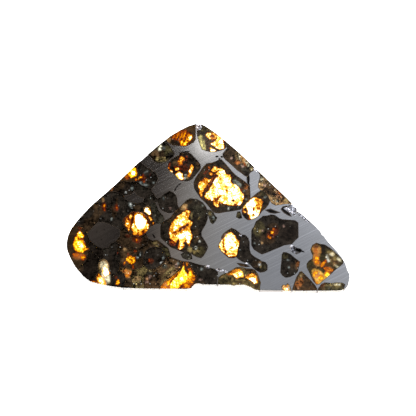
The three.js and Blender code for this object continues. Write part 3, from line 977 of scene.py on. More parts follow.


# The amber crystals: honey-clear hearts that glow from white through yellow and orange to red
# where the stone thickens and clouds towards its dark rim.
# The small pearl and steel spots in these marks are painted glints on the polished face.
AMBER = """
apex_right slate
  moss 203,128.5,5,3.5
  bark 207,143.5,3,7
  olive 211,130,5,1.8,-25
  lime 198.3,136.5 200.5,134.3 202.5,135.5 203.8,139.5 204.8,144 205.8,149.2 202.5,149 200,144
  moss 201.8,139 202.8,139 204.6,147.5 203.6,148
  0.97 205,134.5 207,132 210,131.2 212,133 210.8,136 212,139.2 209.5,139.2 207,137
  0.78 211,132 214,131.3 217.3,134 217.3,137 214.5,140.5 211.5,139.8 209.8,136
  1 217,133 219.5,135.2 223,137.3 223.5,141 224.6,145 223.5,148.2 220,149.6 216.5,148.3 213.5,146.2
    210.3,143.6 211.3,141.8 214.5,140.6 217,137.5 216.3,135
  -0.12 217.5,143.5,2,2.6
  0.68 222.6,138 225.8,139 226.4,140.8 223.8,142
  0.72 223.4,142.5 225.3,145.5 224.2,148 222.4,149
  1 209.8,146 212,146.5 214.5,148.5 216.8,150.2 214,151.5 210.3,151.5
  -0.95 210.5,144 214.5,146.6 219,149.4 218,150.6 213.5,147.8 210,145.4
  -0.16 213,136.2,1.5,1.2

great bark
  soot 220,163,6,2.6 196.5,190,3,8
  umber 247,192,2.8,9,8
  copper 246.5,187,1.6,3
  soot 227,209,16,3,6
  steel 233,180 236,179 239,182.5 242,184.5 240.5,187.5 237,185 233.6,184.4
  moss 235,182,1.2,1
  pearl 228.8,208.2,1.1,1.2
  steel 231.5,207.2,0.6,0.6 238.3,206.8,0.6,0.7 244.6,190.8,1.5,0.5,25 246.5,199.3,0.7,0.8
  0.5 203.6,173.5 206,169 208,170.5 205.6,175.5
  0.54 207.3,167.3 209.8,165.7 210.4,168.3 208.5,170
  0.74 208.7,172 211.5,171.7 213.2,173.5 211.2,176.2 208.5,174.7
  0.92 211,170.3 213,166.4 216,166.6 219.3,168.4 217.7,171.2 214.5,172.3 211.8,171.8
  0.86 197.7,184.5 199.3,181.3 202,179.7 205,177.2 209,178.8 211.3,179.5 210,182.4 207,185.4
    204.7,188.8 203.3,192 202.2,195.8 200.4,197.3 199,193 199.6,190 198,187
  1 217.3,172 219.3,168.4 222.6,168 225.2,170.8 226.2,173.7 230.2,174.6 231.8,177.5 230.8,180.5
    232.2,183.2 236,184.2 239.2,186.8 241.3,190.3 243.8,194 244.3,198 242.8,202.2 240,205.3 235,205.9
    231,205.2 226,204.3 222,204 219.2,202 219,204.4 218.8,206.6 216.5,207.8 213.3,204.7 213.2,201.3
    210,200.3 206,199.3 203.7,197 205.3,193.4 209,189.8 211,186.3 212.8,182 215.3,178 216.8,175.5
    215.8,173.5
  0.34 214.3,172.5 217,175 214.2,180 211.4,186.3 207,191.4 203,197.3 200.6,198 205,188.3 209,183.3
    211.3,178.3
  0.56 210,180.5 213,175.5 214.2,176.7 211.7,182
  -0.35 213.8,198 217.5,198.2 219.7,195.2 221.3,196 218.7,199.8 217.7,202.5 214.8,201.5
  -0.5 217.8,198.8,0.9,1.1
  -0.22 214.2,201.7 218.3,201.7 219.6,204 218.6,207.4 216,207.8 213.8,204.7
  -0.1 203,194.5 206,196.5 211,198.5 216,200 222,202.6 228,203.6 228,206 220,205 212,203 204,199
  -0.16 197,186 199,181 203,178 206,176.6 206,179 201,182 199.6,186
  -0.7 217.3,175.6,0.9,0.9
  -0.3 220.3,178.4,0.7,1
  -0.35 225.4,186.6,1.1,0.8 226.4,190.3,0.9,0.9
  -0.3 213,188,1.4,0.9,30
  -0.16 224,195,1.6,0.6,40
  -0.75 233.4,201,0.9,1.3
  -0.6 235.5,204.6,1.2,0.9
  -0.06 225.5,199.5,3,3
  0.36 240.6,186.6 243,189 241.8,191.5 240.4,189

capsule bark
  moss 262,193,4.5,3
  umber 259,194,2,1.5,30
  steel 265.4,197.3,1.4,1.1
  tan 268.6,194.4,0.9,0.9
  soot 265.5,202,3,4.5,-30
  black 246,216,3,3
  1 253,197.6 256.7,197 260.8,199 263,202 262.3,204.7 261.6,208 260.2,211.5 259,215.7 257,217.8
    253.3,219.5 250.8,219.8 249.4,217.5 248.8,215.5 247,213.3 245,213 242,212.2 242.8,209.3 244,206
    247,202.5 250.5,199
  1.14 245.3,206 250,201.3 253.3,199.3 255.3,202.7 257.3,204 255.3,207.3 255.3,212 258.7,212.7
    258.3,215.3 256.7,217 252,218.5 250.6,216.7 250,212.7 247.3,211.3 246.7,208.7
  -0.22 256.7,197.8 261.3,200.4 262.8,202.7 259.3,203.6 257.3,202.7 255.3,199.3
  -0.2 256,207.5 258,204.8 261.5,205 261,208.5 258.5,210 256.5,209.5
  -0.3 258,205,2.4,0.6,20
  -0.75 253.7,209,0.8,1.3
  -0.6 253.4,214.8,0.7,1.2,-20
  -0.25 251.3,207.4,0.8,0.7
  -1 245.5,209.7,1.3,1.6 246.8,212.3,0.9,1.2
  -0.25 243,210.8,1.2,2
  0.5 249.3,218.6,1.3,1

round soot
  umber 177,163,5,3
  russet 184,168,4,3 169,165,1.4,3
  umber 197.5,165,2.2,3.5
  black 193,158,5,4
  pearl 185.4,175,0.9,0.9 184.7,178.3,0.9,1
  straw 187,177,1.2,1.6
  0.62 177.2,160.6 179.4,157 181.4,155 184.4,156 184.8,159.4 183.2,162 182.6,164.6 179,165.6
    177.4,163.6
  0.76 178.6,158.8 180.4,156.4 181.4,158.6 182,163 180.4,165 178.6,163.6
  0.36 182.5,155.6 186.6,154.8 188,158 186,161 183.5,159
  0.16 186,163,4,2.4
  0.72 167,166 169.4,166 170,169.4 168,169.8
  0.42 168,162.5 170,162.6 170,165.8 167.6,165.4
  1 168.8,168.8 170.6,169.2 172.8,171.4 171.8,173 169.4,171.4
  0.86 174.6,168.2 178,166.7 179.3,169 178,170.5 175.2,170.2
  0.36 173,166.5 175,168 176,171.5 178,173 180,171 181,168 179,166 176,165.5
  1 175,174.5 177,171.8 179.7,171 182.2,173 183.3,176 183.4,179.4 181,180.4 178,179 175.6,177
  0.86 189.2,169 190,165.6 191.6,163.8 193.6,165.2 193.4,168.8 191.8,172.6 190.4,176 188.2,177.8
    187.2,176 188.8,173 188.2,170.5
  1 191.6,167.6,0.9,2.4,20
  1.2 188.8,169 190.4,168.3 190.8,172 189.2,172.7
  0.55 188.5,176.4,0.9,1.3

sunburst russet
  bark 128,232,5,4 124,224,3,4
  0.76 130.6,213.8 132.7,215.4 132,218.7 130.6,221.5 130.8,224.4 130,228.5 129,231.5 127.6,229.8
    127.4,227.4 125.3,227 124.7,223.8 125,220.3 126.6,217 128.3,217.2 129.2,215.2
  0.95 125.8,219 127.4,217 128.6,219.3 129.7,222 129.2,225.2 126.9,224.8 126.3,221.5
  -0.6 128.7,219.5,0.8,0.9
  0.4 122.8,216.8,1.5,0.9,40
  0.52 121.3,219.5,1.2,1.4
  0.88 133.9,214.4 136.2,212.6 138,212.3 140,213.3 142.7,212.9 144.7,213.6 146,216.2 146.2,218.5
    147.5,222.1 149,225.6 149.3,228.7 147,231.9 144.5,233 142.7,233.5 141.5,235.3 139.2,236 138,233.5
    136.2,235 132,235 133.7,232.3 131.2,230.5 131.2,227.4 131.8,224.4 133,222.6 133.5,219.1
  1.18 135.4,215 137.4,213.6 140.1,213.9 142.7,216 145.3,219.1 146.7,222.1 145.8,225.2 143.9,227.7
    141.5,229.1 139.2,230 137.2,228.6 136,226.8 134.9,225 134.6,222.1 134.3,218.5
  1.02 132.3,223.5 134,222.6 135.7,226.3 138,229.5 137,231.3 133.5,230.7 131.8,228
  0.85 136.3,233.3,2,1.3
  -0.45 144.3,215.3,1.7,0.9,-55
  -0.6 143,231.4,0.9,0.8
  -0.4 138.2,232,0.6,1.8
  -0.25 135,222,0.5,3
  -0.1 145.5,228.5,1,1.8,-20

sunburst_spur bark
  1.2 143.6,208.5 145.6,207.6 147.7,206.4 149.5,208.5 150.7,210.9 151.3,213.8 150.2,215.4 148.4,214.6
    146.6,213.4 144.5,211.6
  -0.25 148.7,209.8,0.9,1.1
  -0.2 144.9,209.2,0.9,0.9
  0.9 147.8,215.6 149.2,216 151,217.2 152.4,219.7 150.9,221.2 149.6,219.9 148.4,217.9
  0.84 151.6,222.4 153.3,221.8 154.8,223.2 153.3,224.4
  0.74 149.8,223.8,1,1.3

pearl_flame bark
  tan 99.6,261 102,260 106.3,260.2 108.8,263 109.3,267 107,268 103,270.5 100,269 98.8,265.5
  cream 100.8,261.4 105,261 108,264.5 104,267.5 101,267
  straw 100,267.5 103.4,268 108,275 109.6,283.6 104.6,284.4 102,277.5 99.8,272.5
  milk 104.6,264 107.4,264.6 109,269 110.4,275 110.4,281 107,284 103.4,277 101.4,270 102.6,266
  1.1 105,264.6 107,266 108.3,268 110,272 109,275 106,277.4 103.4,274.5 101.8,270.5 103.4,267
  1.2 105.6,267 107.6,270 108,274 106,276 104.4,272
  0.96 99.4,272.8 102,275.8 104.6,277.7 107,281 107,285 104,286 101,284.6 98.6,281.5 97,277.6
  1.1 101,279.5,2,2.4
  0.85 109.8,272.3,0.8,1.6
  -0.35 99.6,276,0.8,0.9
  -0.45 101.8,268.3,0.8,1.4
  umber 103.6,264,2.4,0.5,60
  0.9 95,281.4,3,1.2,-10

twin soot
  slate 197,212,7,7
  bark 171,218,4,5 178,210,4,4 188,202,3.5,2
  soot 197,226,4,12
  bark 196,236,3,7
  moss 199,251,6,5
  tan 181,206 184,204 187.3,205 187.3,208.5 184,210.6 181,209.4
  straw 191.5,215.5,1,2.3 190,249.3,2.2,2.8 196.3,250.6,2.2,1.2 194,252.7,1,1.2
  pearl 195.6,247.8,1.2,1.4
  straw 198.7,218.7,0.7,1.1,-30
  pearl 199.7,241.4,0.8,0.9 196.2,200,1,0.7
  steel 202.7,205.3,0.8,0.6
  0.5 186.5,209,1.4,1
  0.44 169,240 171.5,239.4 174.7,241.5 176.5,243.3 175,245.8 171.3,245.8 169,243.5
  0.86 181,214 183,211.7 185,210.6 187,210 189.9,210.6 190.4,212.7 189,216 188.6,218.7 190.2,220.5
    192.4,222.3 192,225 190.6,227.3 190.3,229.3 191.4,232 192.4,234.7 192,238 190.6,241.3 189.4,246
    187.8,244.2 186.5,242 185.5,240.3 184.8,242.7 184.6,246 181.8,249.1 180,250.1 178,248.9 177.6,246
    178.1,243.8 178.5,242 177.9,240.6 176.7,243 175,242.4 173.6,241 171.1,239.6 169.6,237.5 168.9,234
    168.9,229.3 170.4,226 171.4,222.5 174.8,219 176.8,216.3
  1 177.8,217.1 181,215.7 185.3,215.7 187.3,220.7 187.2,223.4 181,227 177.7,229 174.3,230.2 172.8,230.7
    174.8,224.7 176.2,221.3
  1 181.7,232.6 185,230.5 189.7,230.4 191.7,235.3 190,239.4 188.4,242.5 186.3,239.4 183.8,242 183.2,246
    181,248 179.2,246 178.9,242.7 178.2,238.8 174.8,237.5 177,235.2
  -0.6 188.7,223.4 183,226.3 179.6,228.7 179.4,230.2 183.5,228.4 188.7,225.5
  -0.22 191,226.3 186,227.2 180,229.2 175,231 171.2,232.8 171.6,234.2 176,232.8 181,231 186,230.2
    190.5,229.5
  -0.25 186.3,212.8,1,1.4
  -0.1 182.5,237,0.8,0.8
  -0.2 174.5,237,1.2,0.8
  -0.6 178,241.6,1,1.6

lantern black
  soot 229,229.3 231.5,228.3 238,231.8 240.5,235 237.5,234.2 232,230.8
  pink 221,240 222.7,236 226.3,233 228.6,233.2 225.8,236.9 223.5,239.8
  umber 223,237.5,1,2,-30
  1 229,232 231,231.7 235.3,236 237.3,239.2 239.6,240.6 239.3,244 238.3,248 237.6,252.7 236,256
    233,256.8 229,256.8 226.8,255 224,253 221.4,251 218.7,248.2 218.3,245.3 219.4,242.5 220.5,240
    223,239 225,236.4 227,233.8
  1.1 229.7,233.1 232.3,233.8 235.2,238 235.9,242 233.2,244.2 231.2,246.9 229,249.5 227,251.6
    224.8,249.3 223.5,245.3 224.1,241.3 226.1,237.3
  1.1 220.7,241 221.8,245.3 223,249.5 220.8,248.2 219.3,245.3
  1.1 237,247.6,1.2,3.4
  -0.42 222.4,239.3 223.8,239.1 224,244 224.5,248.5 226.3,251.8 225,252.6 223.1,249.6 222.7,244
  -0.28 231.8,247.4,1.5,1,-25
  -0.32 237.2,240,1.1,1.4
  -0.2 236.4,244.4,0.7,1.7
  -0.25 230.4,250.8,1.3,0.9
  -0.2 234,251.5,1.6,0.6,30
  -0.45 231.8,253.8,3.6,0.55
  -0.4 225.6,251,0.9,1.5

cream_edge tan
  cream 281.3,284.5 284,283.7 285.5,285 287,282.7 288.7,284.5 289.8,288 288,290.4 284.5,290.4 282.2,288
  0.93 281.3,284.5 284,283.7 285.5,285 287,282.7 288.7,284.5 289.8,288 288,290.4 284.5,290.4 282.2,288
  -0.85 288.4,287.4,1.1,0.9,-40
  -0.3 285.9,285.6,0.6,1.4,-30

foot olive
  umber 249,269,6,2.8,-15
  moss 223,281,8,3
  black 238,267.6,4,1.2
  bark 256,286,2.4,2.2
  straw 230.5,275.8 231.7,275.6 234.6,283.5 232.6,283.8
  straw 239,280.5,6,2
  umber 240,281.5,5,1.4
  tan 221.5,276,0.8,0.8
  0.86 230.7,271.5 232.7,269.7 235.3,269 238.7,268.7 241.5,269.8 243,272.3 244,275.3 242.8,277.6
    240,277 236.7,278.4 234.4,277 232.5,274.9 230,274.6 225.8,275 225.8,273.1 229.3,272.4
  1.1 231.8,272.5 235.3,272.3 238.2,276 236.3,278 233.8,276.2
  1.1 237,272 240,271.2 242.3,273 240.5,275.7 238.5,275.2
  -0.4 234.7,271.2,1.4,0.9,20
  -0.15 227.5,274,2,0.7
  0.74 245,276.7 246.5,274.5 248.6,273 252,272.4 254.9,273 256.6,275.3 257.6,279.3 257.6,283
    255.3,283.6 252.5,283 249.8,280.2 247.8,279
  1.1 250.7,277.1 254,276.4 255.6,279.3 257,282.5 254,283.4 251.8,281.6 249.8,279.6 247.7,278
  0.86 245.8,277,1,1.4
"""

grow("amber_olivine", "amber_olivine", AMBER, speckle=0.75, grit=1.0, blue=0.08,
     roughness=0.04, absorb=(0.97, 0.86, 0.55, 1), density=160)

# The ember crystals: the same stone, but thicker with iron, so that they glow a deep yellow, orange
# and red with hardly any white.
# On honey_heart, the pearl and milk spots and the cream spot beside them paint glints and reflections on the
# face.
EMBER = """
apex_left bark
  tan 168,138.5,2.4,3.6
  umber 188,128,7,3.4
  copper 178,131,3,1.6,30
  black 176,142,5,2
  0.62 171,136.5 173,133 178,129.6 183,129 187,130.5 191,133 192.6,135.5 192.6,138.5 190,141.5
    187.8,144.8 184,146 180,144.9 178.6,141 176,139.5 173,139
  0.68 181,132 184,130.5 187.5,132.5 188.5,136 187,139 184,141 181,139.5 180,136
  0.8 173.5,135.8,0.8,2.8,-34
  0.72 177.2,135.3,0.8,4,-26
  0.84 180.6,136.4,0.9,4.4,-20
  0.86 184,134.4,1,4.4,-20
  0.96 187,138,0.9,4,-24
  1 188,136 190.5,134.2 192.2,135.5 191.8,138 189.8,140.5 187.6,139
  1.25 190,137.6,1.2,1.2
  0.95 179.3,141 181.5,139.4 184,141.5 187,140.5 189.5,140.2 188,143.4 184.5,145.6 180.8,144.9
  1.08 184,143.6,2,1.2
  -0.6 175.3,135.4,0.5,4,-28 178.8,135.8,0.5,4.4,-22
  -0.5 182.4,135.2,0.45,4.6,-20 185.6,136.4,0.45,4.4,-22
  -0.7 186,143.4 188.5,141.4 189,142.2 187,144.2
  -0.4 182.4,143.3,0.6,1.2

edge_ember bark
  umber 122,180,6,4,40
  0.56 124,177 125.6,173.4 128.6,172.6 129.4,176 127.5,178.6
  0.5 123.8,177.6 125.6,174.8 127.6,176.4 129.6,177.6 128.6,179.2 125.6,179.4
  0.74 136.2,179.4,1.8,1.2,-20
  0.9 131.8,166.7 134.8,166.7 136.4,170.5 136.9,174 135.8,176.4 133,177.4 130.6,178.2 129,177.2
    127.7,175 126,174 127,171.8 130,168.6
  1.1 131.7,170.8 134.5,170.6 136.3,174 133.5,175.8 131,175.2 130.2,172.5
  -0.12 132.6,168.3,1.6,1

west_flame bark
  umber 80,226,4,3
  black 87,238,3,8,8
  umber 80,256,7,5
  copper 79,256,5,3
  0.88 77.8,232 80.5,230 82.3,233 84.4,235 83.8,238 84.8,241 85.8,245 87,248 89.5,248.5 86.3,250.3
    83.7,252.3 81,252.9 78,252.4 74.8,250.2 73.7,246 73.2,243 74.7,239 76.8,235
  1 80,233,1.8,2
  -0.2 84,235,1.2,1.6
  0.96 75.7,239 79.5,240.7 82,240.7 84.8,245 84.9,250 81,251.9 76.8,250.3 74.7,246 74.7,242
  0.98 76.5,239,1.3,3,20
  1.06 82,247,2.6,3.4
  -0.5 78,237 80,238.2 83.6,237.6 83.6,239.4 80,240 77.4,238.4
  -0.3 84.5,241.5,0.8,2
  -0.15 76.5,243.5,0.8,2
  0.6 73.2,253 76,251.8 82,253.3 86.4,255 86.4,258.2 83.7,261 81.3,258.3 79.6,256 77,257.4 74.7,257.3
    72.7,255
  0.6 83.5,259,1.8,1.7
  0.64 75,254.5,1.6,1
  0.3 80.5,228,3,1.6

ember_foot bark
  umber 189,284,7,5 173,271,8,2.6,38
  honey 161,285 164.6,280 168.3,277.6 170.3,281 170.5,288.4 161,288.4
  cream 166.2,284,1.2,1.8
  tan 188,261.4,2.6,1.8
  0.62 161,285 165,280.6 168.3,279.6 170.3,283 170.5,288.4 161,288.4
  0.84 167.6,282 169.8,277.3 174,273.1 179,269.9 180.4,272 176,275.8 172,279.8 169.5,284.5 166.5,288
  0.68 187,267.7 190.4,267.9 192.6,270 193.4,273.3 195.6,276 194.8,280.2 193.2,283.7 190.3,287.3
    181,288.6 183,283 187.5,277
  0.84 187.4,269 191,269.6 193.5,275 190.5,279 187.6,277.5
  0.95 181.3,268.7 183,265.7 184.4,264.3 184.7,267.3 186,270.7 188,274 188.4,277.3 187.4,280.2
    186,282.3 182.6,283.6 180.6,286.4 177.9,288.4 170.7,288.4 169.6,284.7 170.7,282 173.4,279
    176.8,275.6 179.4,272.4 181,270
  0.98 181,278,4.4,4.2,40
  1 174,284,3,2.8
  1.06 183,267.6,1.1,2.4,-12
  0.84 186,262.5 188.2,261.6 188,265.5 186.3,267.1
  0.7 182.3,262.4 184.3,262 184,264.8 182.8,265.2
  -0.7 185.6,267.3 188.8,271 188.2,272 185.6,269.6
  -0.5 182.3,285,1.6,1.1
  -0.2 184.5,283.4,1.5,1
  -0.1 178.6,277.6,0.6,3,45
  -0.2 174.5,275.5,0.7,4,-48

honey_heart moss
  black 322.5,249.8,2.8,5
  black 318,243.5 325,243.5 333,249 341,258 341,261 336,256 328,249
  olive 331,257,6,5.5,-35
  pearl 331,254.6,1.4,1,-30 336,260.6,1.6,0.8,-40
  umber 334.5,260.5,4.5,3,-40
  straw 329.6,251.6,2.4,1.6 334.5,258.3,2.4,1.6,-30
  tan 333.8,264.3,1.6,2,-40
  umber 316,267,5.5,1.3 326,265,5,4.5
  honey 311.6,247.5 312.8,244.8 316.3,243.4 320.3,248 320.9,251.9 319.1,255 319.1,258.8 320.3,262
    319.1,265.9 316.9,266 314.2,264 312.2,260.6 312.2,256.3 313.5,253.1 311.7,250.6
  umber 316,246.4,2.6,1.6
  gold 311,270.6 313.7,268.5 317.5,269.1 320.2,271 323.1,273.6 325,271.6 328.1,271.6 329.8,273.8
    326.5,278.5 320.8,281.6 317.6,284.2 314.8,282.7 312.2,278.8 312.2,274.4
  straw 328.6,269,3.4,2.6,20
  cream 317,275,1.8,2.6,-20
  pearl 325.6,254.5 327,254.4 328.2,257.6 329.4,261 328,262 326.4,259.4
  cream 332,253.8,2,1.7,-30
  milk 338.8,259.1,2.3,1.4,-40 336.6,266.3,2.2,0.9,-35
  0.46 315.6,252,2.6,6
  0.7 316.2,260,2.8,4.8
  0.84 316,258,1.6,2.6 318.2,263,1,1.6
  0.74 319.3,265.7 321,262.4 323.5,260.3 326.2,258.7 326.2,262 323.6,265.3 320.4,267.4
  0.56 322,267 327,266 333.3,268 332.2,271 329,273.2 324.3,271.3
  0.78 315.4,274,3,4
  0.8 320,277,3,3,35
  0.95 326.4,274.3,2.8,2.6,40
  0.8 316.4,282.4,1.4,1.6
  russet 310.8,275.5 313.2,277 315.2,281 314.4,283.4 312,280
  -0.5 313.6,279.6,1.2,3,-28
  -0.25 322,272.8,2,0.8,30
  -0.2 319.5,270.5,1,0.6
"""

grow("ember_olivine", "amber_olivine", EMBER, speckle=0.5, grit=0.55, blue=0.015,
     roughness=0.04, absorb=(0.98, 0.8, 0.4, 1), density=160)

# The olive-brown crystals: cloudy all through, so that the light that comes up them is broken
# into straw, tan and cream grains with few clear spots.
# The small milk, pearl and steel spots, such as the double spot on shoulder, are painted glints.
CLOUDY = """
shoulder slate
  bark 158,155,9,6,20
  olive 161,159,6,2.4
  umber 155,154,4,4,40
  straw 157,158.6,2,1.6
  moss 168,150.5,4.5,6
  soot 170,155,3,3
  milk 160.2,145.4,1,1.1 159.6,148.8,1.4,1.3
  steel 163.5,148,1,1

brown_flank bark
  tan 236,152 238.5,150.5 241,153 244,157 248,161 250,165 246,165 242.5,161 239,160.5 237,162 235.5,157
  straw 237.4,155.5,0.8,4.4,8
  bark 238.6,157,0.5,4,10
  cream 239.8,156.6,0.8,4.6,12
  bark 241,159,0.5,3.6,14
  honey 242.4,158.4,0.8,4.2,16
  umber 243.6,162,0.5,3,20
  honey 244.8,161,0.9,3.6,24
  cream 247.2,163,0.9,3.2,34
  milk 250,166.4,1,2.4,40
  pink 232,157.7,1,0.9
  copper 238,162,3,2
  slate 246,170.5,6,2.6,-35
  soot 245.5,173,3,1.6,-30
  straw 251,168,2,1.4,-40
  pink 243,166,1,0.9
  0.6 244.8,164,0.9,1.8,20

flank_upper tan
  cream 262,178,1.5,3.4
  bark 266,182,0.6,4,30
  soot 269,181,0.6,3,30
  bark 264.6,177,0.5,3,20
  pink 265,185,1.4,1.4
  bark 262.5,187.5,2.5,1.5

flank_lower umber
  tan 278,198.6,12,7,-35
  umber 270,191,4,5
  peach 279,195,4,3.4,-40
  copper 280,191.5,3,1.6,-40
  steel 277.5,201.3,1.3,1
  peach 281.6,201.4,1.4,1.6
  straw 286.4,200.8,1.2,1.6
  bark 284,197.5,1.2,2,-30
  soot 275,196,0.6,4,35
  bark 281,199,0.6,3.4,35
  soot 271.6,195.6,0.6,3.4,30
  moss 274,200.6,2,0.6
  0.56 279.4,193.6,1.6,1.2,-40

sienna umber
  bark 128,281,5,4
  honey 127,272.6,6.5,4.4,-10
  0.54 121.5,272 124,269.6 128,269 132.4,271.3 131.4,275 128,277.4 124,276
  0.72 127.6,275,2.4,1.5,10
  -0.5 127,272.5,1.4,0.9

fern olive
  tan 137.6,278.6,3.6,2.6,20
  straw 136.6,282.3,3,1.8
  tan 133.5,281.8,0.9,0.9
  bark 135,273,3,3 140,284,3,2

green_sliver moss

fan umber
  olive 160,284 166,275 172,269 178,265 180,267 174,272 168,278 163,285
  umber 163,273,4,6,40
  russet 176,269.6,5,0.8,42
  straw 168.5,271,6,0.9,42
  tan 172,274,6,0.8,42
  pink 176.4,265.4,1.4,1.8
  steel 178.3,263.4,0.8,1.1
  slate 165,266,3,2.4

green_chip slate
  olive 210,213.4,1.4,2
  steel 213.4,217.8,0.9,1.2
  moss 212,221,1.2,1.6

small_chip moss
  olive 239,212.8,1.5,1

moss_strip moss
  umber 317,286.5,8,3.4
  russet 321.5,284,3.4,1.8,20
  olive 333,285,8,2.4
  straw 333,283.6,6.4,1.8
  cream 335.4,283,3.4,1.2
  slate 329,286.4,2.4,0.9
  pearl 338.4,283,0.9,1
  soot 342.6,285,1.4,2.4
"""

grow("green_olivine", "green_olivine", CLOUDY, speckle=0.6, grit=1.4, blue=0.08,
     roughness=0.09, absorb=(0.9, 0.86, 0.66, 1), density=120)

# The smoky crystals: nearly black with inclusions, some with a red or orange heart where a clear
# thread goes right through, and pale flecks, painted glints of light off its cracks.
SMOKY = """
moor black
  copper 112,187.2,1.1,3,-20
  bark 120,186,6,3,40
  pearl 125.5,192.5,0.7,0.7
  steel 132,188.2,1.3,1.5

charcoal soot
  slate 144,184.5,5,3
  steel 140.2,183.3,1.4,1.8,-20 144,185,2.6,1
  slate 145.6,171.6,1.8,0.8,30
  steel 146,171.6,1,0.4,30
  pearl 153,170.3,1,0.7
  steel 153.3,182.4,0.8,0.7
  russet 142,178,4,3
  0.86 136.6,178 138,176.8 139.4,177.6 138.8,179.8 136.6,180.8
  1.1 140.6,177.4,1,1
  0.6 142,176.4,0.8,2.6,-25
  0.5 143.6,181,1,1.8
  0.28 149.6,174.7,0.6,1.6

soot_wedge soot
  slate 143,189,3,1.5
  steel 133,190,1,1.4

cinder soot
  slate 150.5,198.5,2,1.2

grey_hexagon soot
  pink 169.8,208.4,1,1
  steel 163.3,198.4,0.7,0.9
  slate 175,200.6,0.6,0.6

tawny soot
  steel 130,205,1,2.2,25
  pearl 130.4,203.6,0.6,1
  bark 137,208,4,2.5

slate_wedge slate

bark bark
  umber 96.5,206,2.4,2.6
  soot 80,221,5,4,40 88,214,6,4,40
  umber 101,198,3,1.2,40

garnet soot
  bark 98,210,6,6
  tan 102.6,200,1.3,1.6
  russet 104,206.6,2,4.4
  0.66 102.4,204.6 104,203.2 105.6,204.8 104.8,207.4 103.2,207.6
  0.56 104.2,209,0.9,1.8

copper soot
  bark 112,212,5,6
  umber 116.6,202.6,0.8,3.2
  russet 116.4,207.4,1.8,3.6,10
  steel 111.3,218.8,0.7,1.4,-20
  0.6 116.6,207.4,1,2.4,10
  0.28 113.6,209.6,0.8,1.6

nightfall black
  slate 97,255.6,0.6,0.6
  bark 80,268,4,3
  0.76 94.6,281.2,2.6,1.1,-10

ash_west black
  soot 95,246.5,3,1.2

ash_east soot
  slate 104.5,250.5,1,1
  black 111,262,2,8

clove soot
  steel 114.2,273.6,1,1.8,10
  russet 116.5,277,1.4,1.4
  0.86 116.6,281 118.3,278.4 120,279.2 120.6,282.6 118.4,285 116.6,284
  1 118.5,280.6,0.8,1.2

freckled umber
  straw 144.8,271.6 146.6,269.4 148.8,268.8 151.2,270.6 152,272.6 150.4,271.6 148.4,270.4 146.6,271.6
  pink 150.5,276.4,1.6,1.9,20
  peach 147.6,278.4,0.9,1.4
  pink 147.2,281.5,1.3,0.8
  slate 150,273,4,2
  bark 155,276,3,4

mottle bark
  umber 127,258,5,7
  tan 125.2,248.6,1.4,2
  soot 118,258,3,6 141,254,3,4
  steel 140.1,254.4,0.6,1.3 137.4,257.1,0.8,0.9
  0.42 128.4,254.3,1,1.6,30
  0.78 126.2,258 128,255.8 130.4,255.2 132.7,256.5 135.7,256.4 135.4,258.5 136.3,261 134.6,263
    132.1,264.2 130.2,263.6 128.4,261.8 126.2,260.4
  0.95 131.2,258.2,1.5,0.8
  0.93 134.9,257.3,1,0.8
  -0.5 131.8,259.8,1.1,0.6
  0.7 123.4,263.4 124.6,261 126.6,261.6 125.6,264.4 124.2,265.2
  0.62 133.4,266.6,1.2,2.2,10
  0.56 135.7,251,1.8,1.5,30
  0.46 117.2,252.6,1.2,1.2
  0.42 121,244.4,1.2,1.4

rosewood bark
  russet 137,239,5,3.4 128,236,2.4,1.6
  0.24 139.8,243.4,1.2,1.2
  0.66 136.9,240.4,1.2,2.6,8
  0.76 136.8,240.2,0.9,1.4

dusk bark
  olive 155,243,2.6,1.2
  straw 157.4,246.3,1.2,0.8

raven soot
  slate 164.4,254.4,0.9,3.2
  steel 163.4,257.6,0.9,1.4,30
  slate 153,246.3,1,0.8
  straw 143,263.8,1.2,1.1
  umber 141.8,258.5,1.2,1.3
  pearl 162.4,248.2,0.9,1 162,262.1,1.2,0.9,30
  russet 151.6,260.6,2,2.4
  0.54 149.8,260.4,0.9,1.9

char_foot soot
  bark 200,282.4,5,2.4
  pearl 206,265.9,1.5,0.9 209.3,267,1.3,0.9
  steel 201.6,268.5,0.9,1.2
  slate 202.6,265,1.4,0.7
  pink 200.5,279.4,1.2,0.8

south_shard slate

smoke_neck soot
  bark 257.5,263.5,5,4
  moss 262.5,267,3,3.4
  tan 260.6,261.6,1.2,1
  pearl 259.4,264.6,1,1.1
  straw 260.4,266.4,0.7,1,-30
  steel 247.3,263.2,1.6,0.7

umber_splinter umber

great_smoky soot
  moss 259,229,6,8
  bark 273,229,7,6 268,238,8,6
  black 288,233,9,8
  straw 254.7,227.8,1.1,1.5 260,231.3,1.2,1.6
  pink 262.7,230.4,0.8,0.8
  tan 262,242.7,0.9,1
  steel 254.3,243.3,0.6,0.7
  slate 267.2,248.8,0.9,1.8
  pink 283.7,226.2,1,0.9
  slate 290.7,222,0.8,1.5
  russet 276,230.5,2.4,4 271,235,4.4,4.4
  0.62 273.8,229.2,1.8,1.6
  0.9 270,233.2 271.4,231 273.6,230.6 274.4,232.2 273,233.8 271,234.4
  1.1 272.2,232.3,1.4,0.9
  0.76 266.8,236.6 268.4,235.4 270,236.2 271.6,235.2 271.6,237.8 269.6,239 267.4,238
  0.9 270.2,237.8,1,0.7
  0.4 273,235,0.8,1.2

brown_kite soot
  moss 285,256,3,3
  umber 294.6,258 296.5,258.8 299.6,261.6 298.8,266 296.2,270 294,266.4 294.6,262
  copper 297.4,263.5,1.2,2.6,-10
  steel 287.5,259.4,0.9,0.7 288.6,267.2,0.8,0.8
  bark 292,266,2,3

rust_triangle umber
  copper 294,283 297,277.5 301.3,277.7 302.8,282 300.3,286 297.5,288 294.6,286.8
  tan 298.6,277.6,0.8,3.4,-40
  straw 300.4,275.2,0.8,1.6,-40
  slate 303.8,278.1,0.9,0.8
  bark 307,284,4,3
  umber 311.5,287,2.4,2
  peach 297.3,287.6,0.8,0.8
"""

grow("smoky_olivine", "smoky_olivine", SMOKY, speckle=0.5, grit=1.0, blue=0.03,
     roughness=0.07, absorb=(0.8, 0.7, 0.55, 1), density=120)

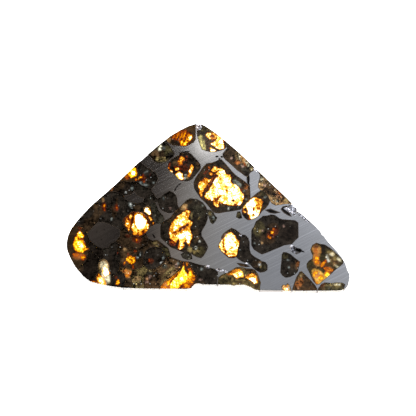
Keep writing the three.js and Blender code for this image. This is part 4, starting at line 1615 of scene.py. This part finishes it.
# The troilite: two splinters of dull black iron sulphide, an ore that grew with the metal. They lie
# in the metal at the right, cut and ground flush with it.
TROILITE_TONES = ((0.002, 0.002, 0.002), (0.016, 0.015, 0.015))
CRUST_PER_METRE = 2600
CRUST_EDGE = (0.4, 0.75, 0.0, 1.0)


def sulphide(tree):
    crust = texture(tree, "TexNoise", add(tree, "TexCoord").outputs["Object"], CRUST_PER_METRE)["Fac"]
    tone = mixed(tree, *TROILITE_TONES, ramp_between(tree, crust, *CRUST_EDGE))
    gloss = {"Metallic": 0.1, "Specular IOR Level": 0.1, "Roughness": 0.55}
    return {"Surface": add(tree, "BsdfPrincipled", {"Base Color": tone, **gloss}).outputs["BSDF"]}


finish_nodes(TROILITE_NODES, new_material("troilite", sulphide))

boxes = {"cad": cad_box, "visual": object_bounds()}
{key: [list(corner) for corner in box] for key, box in boxes.items()}
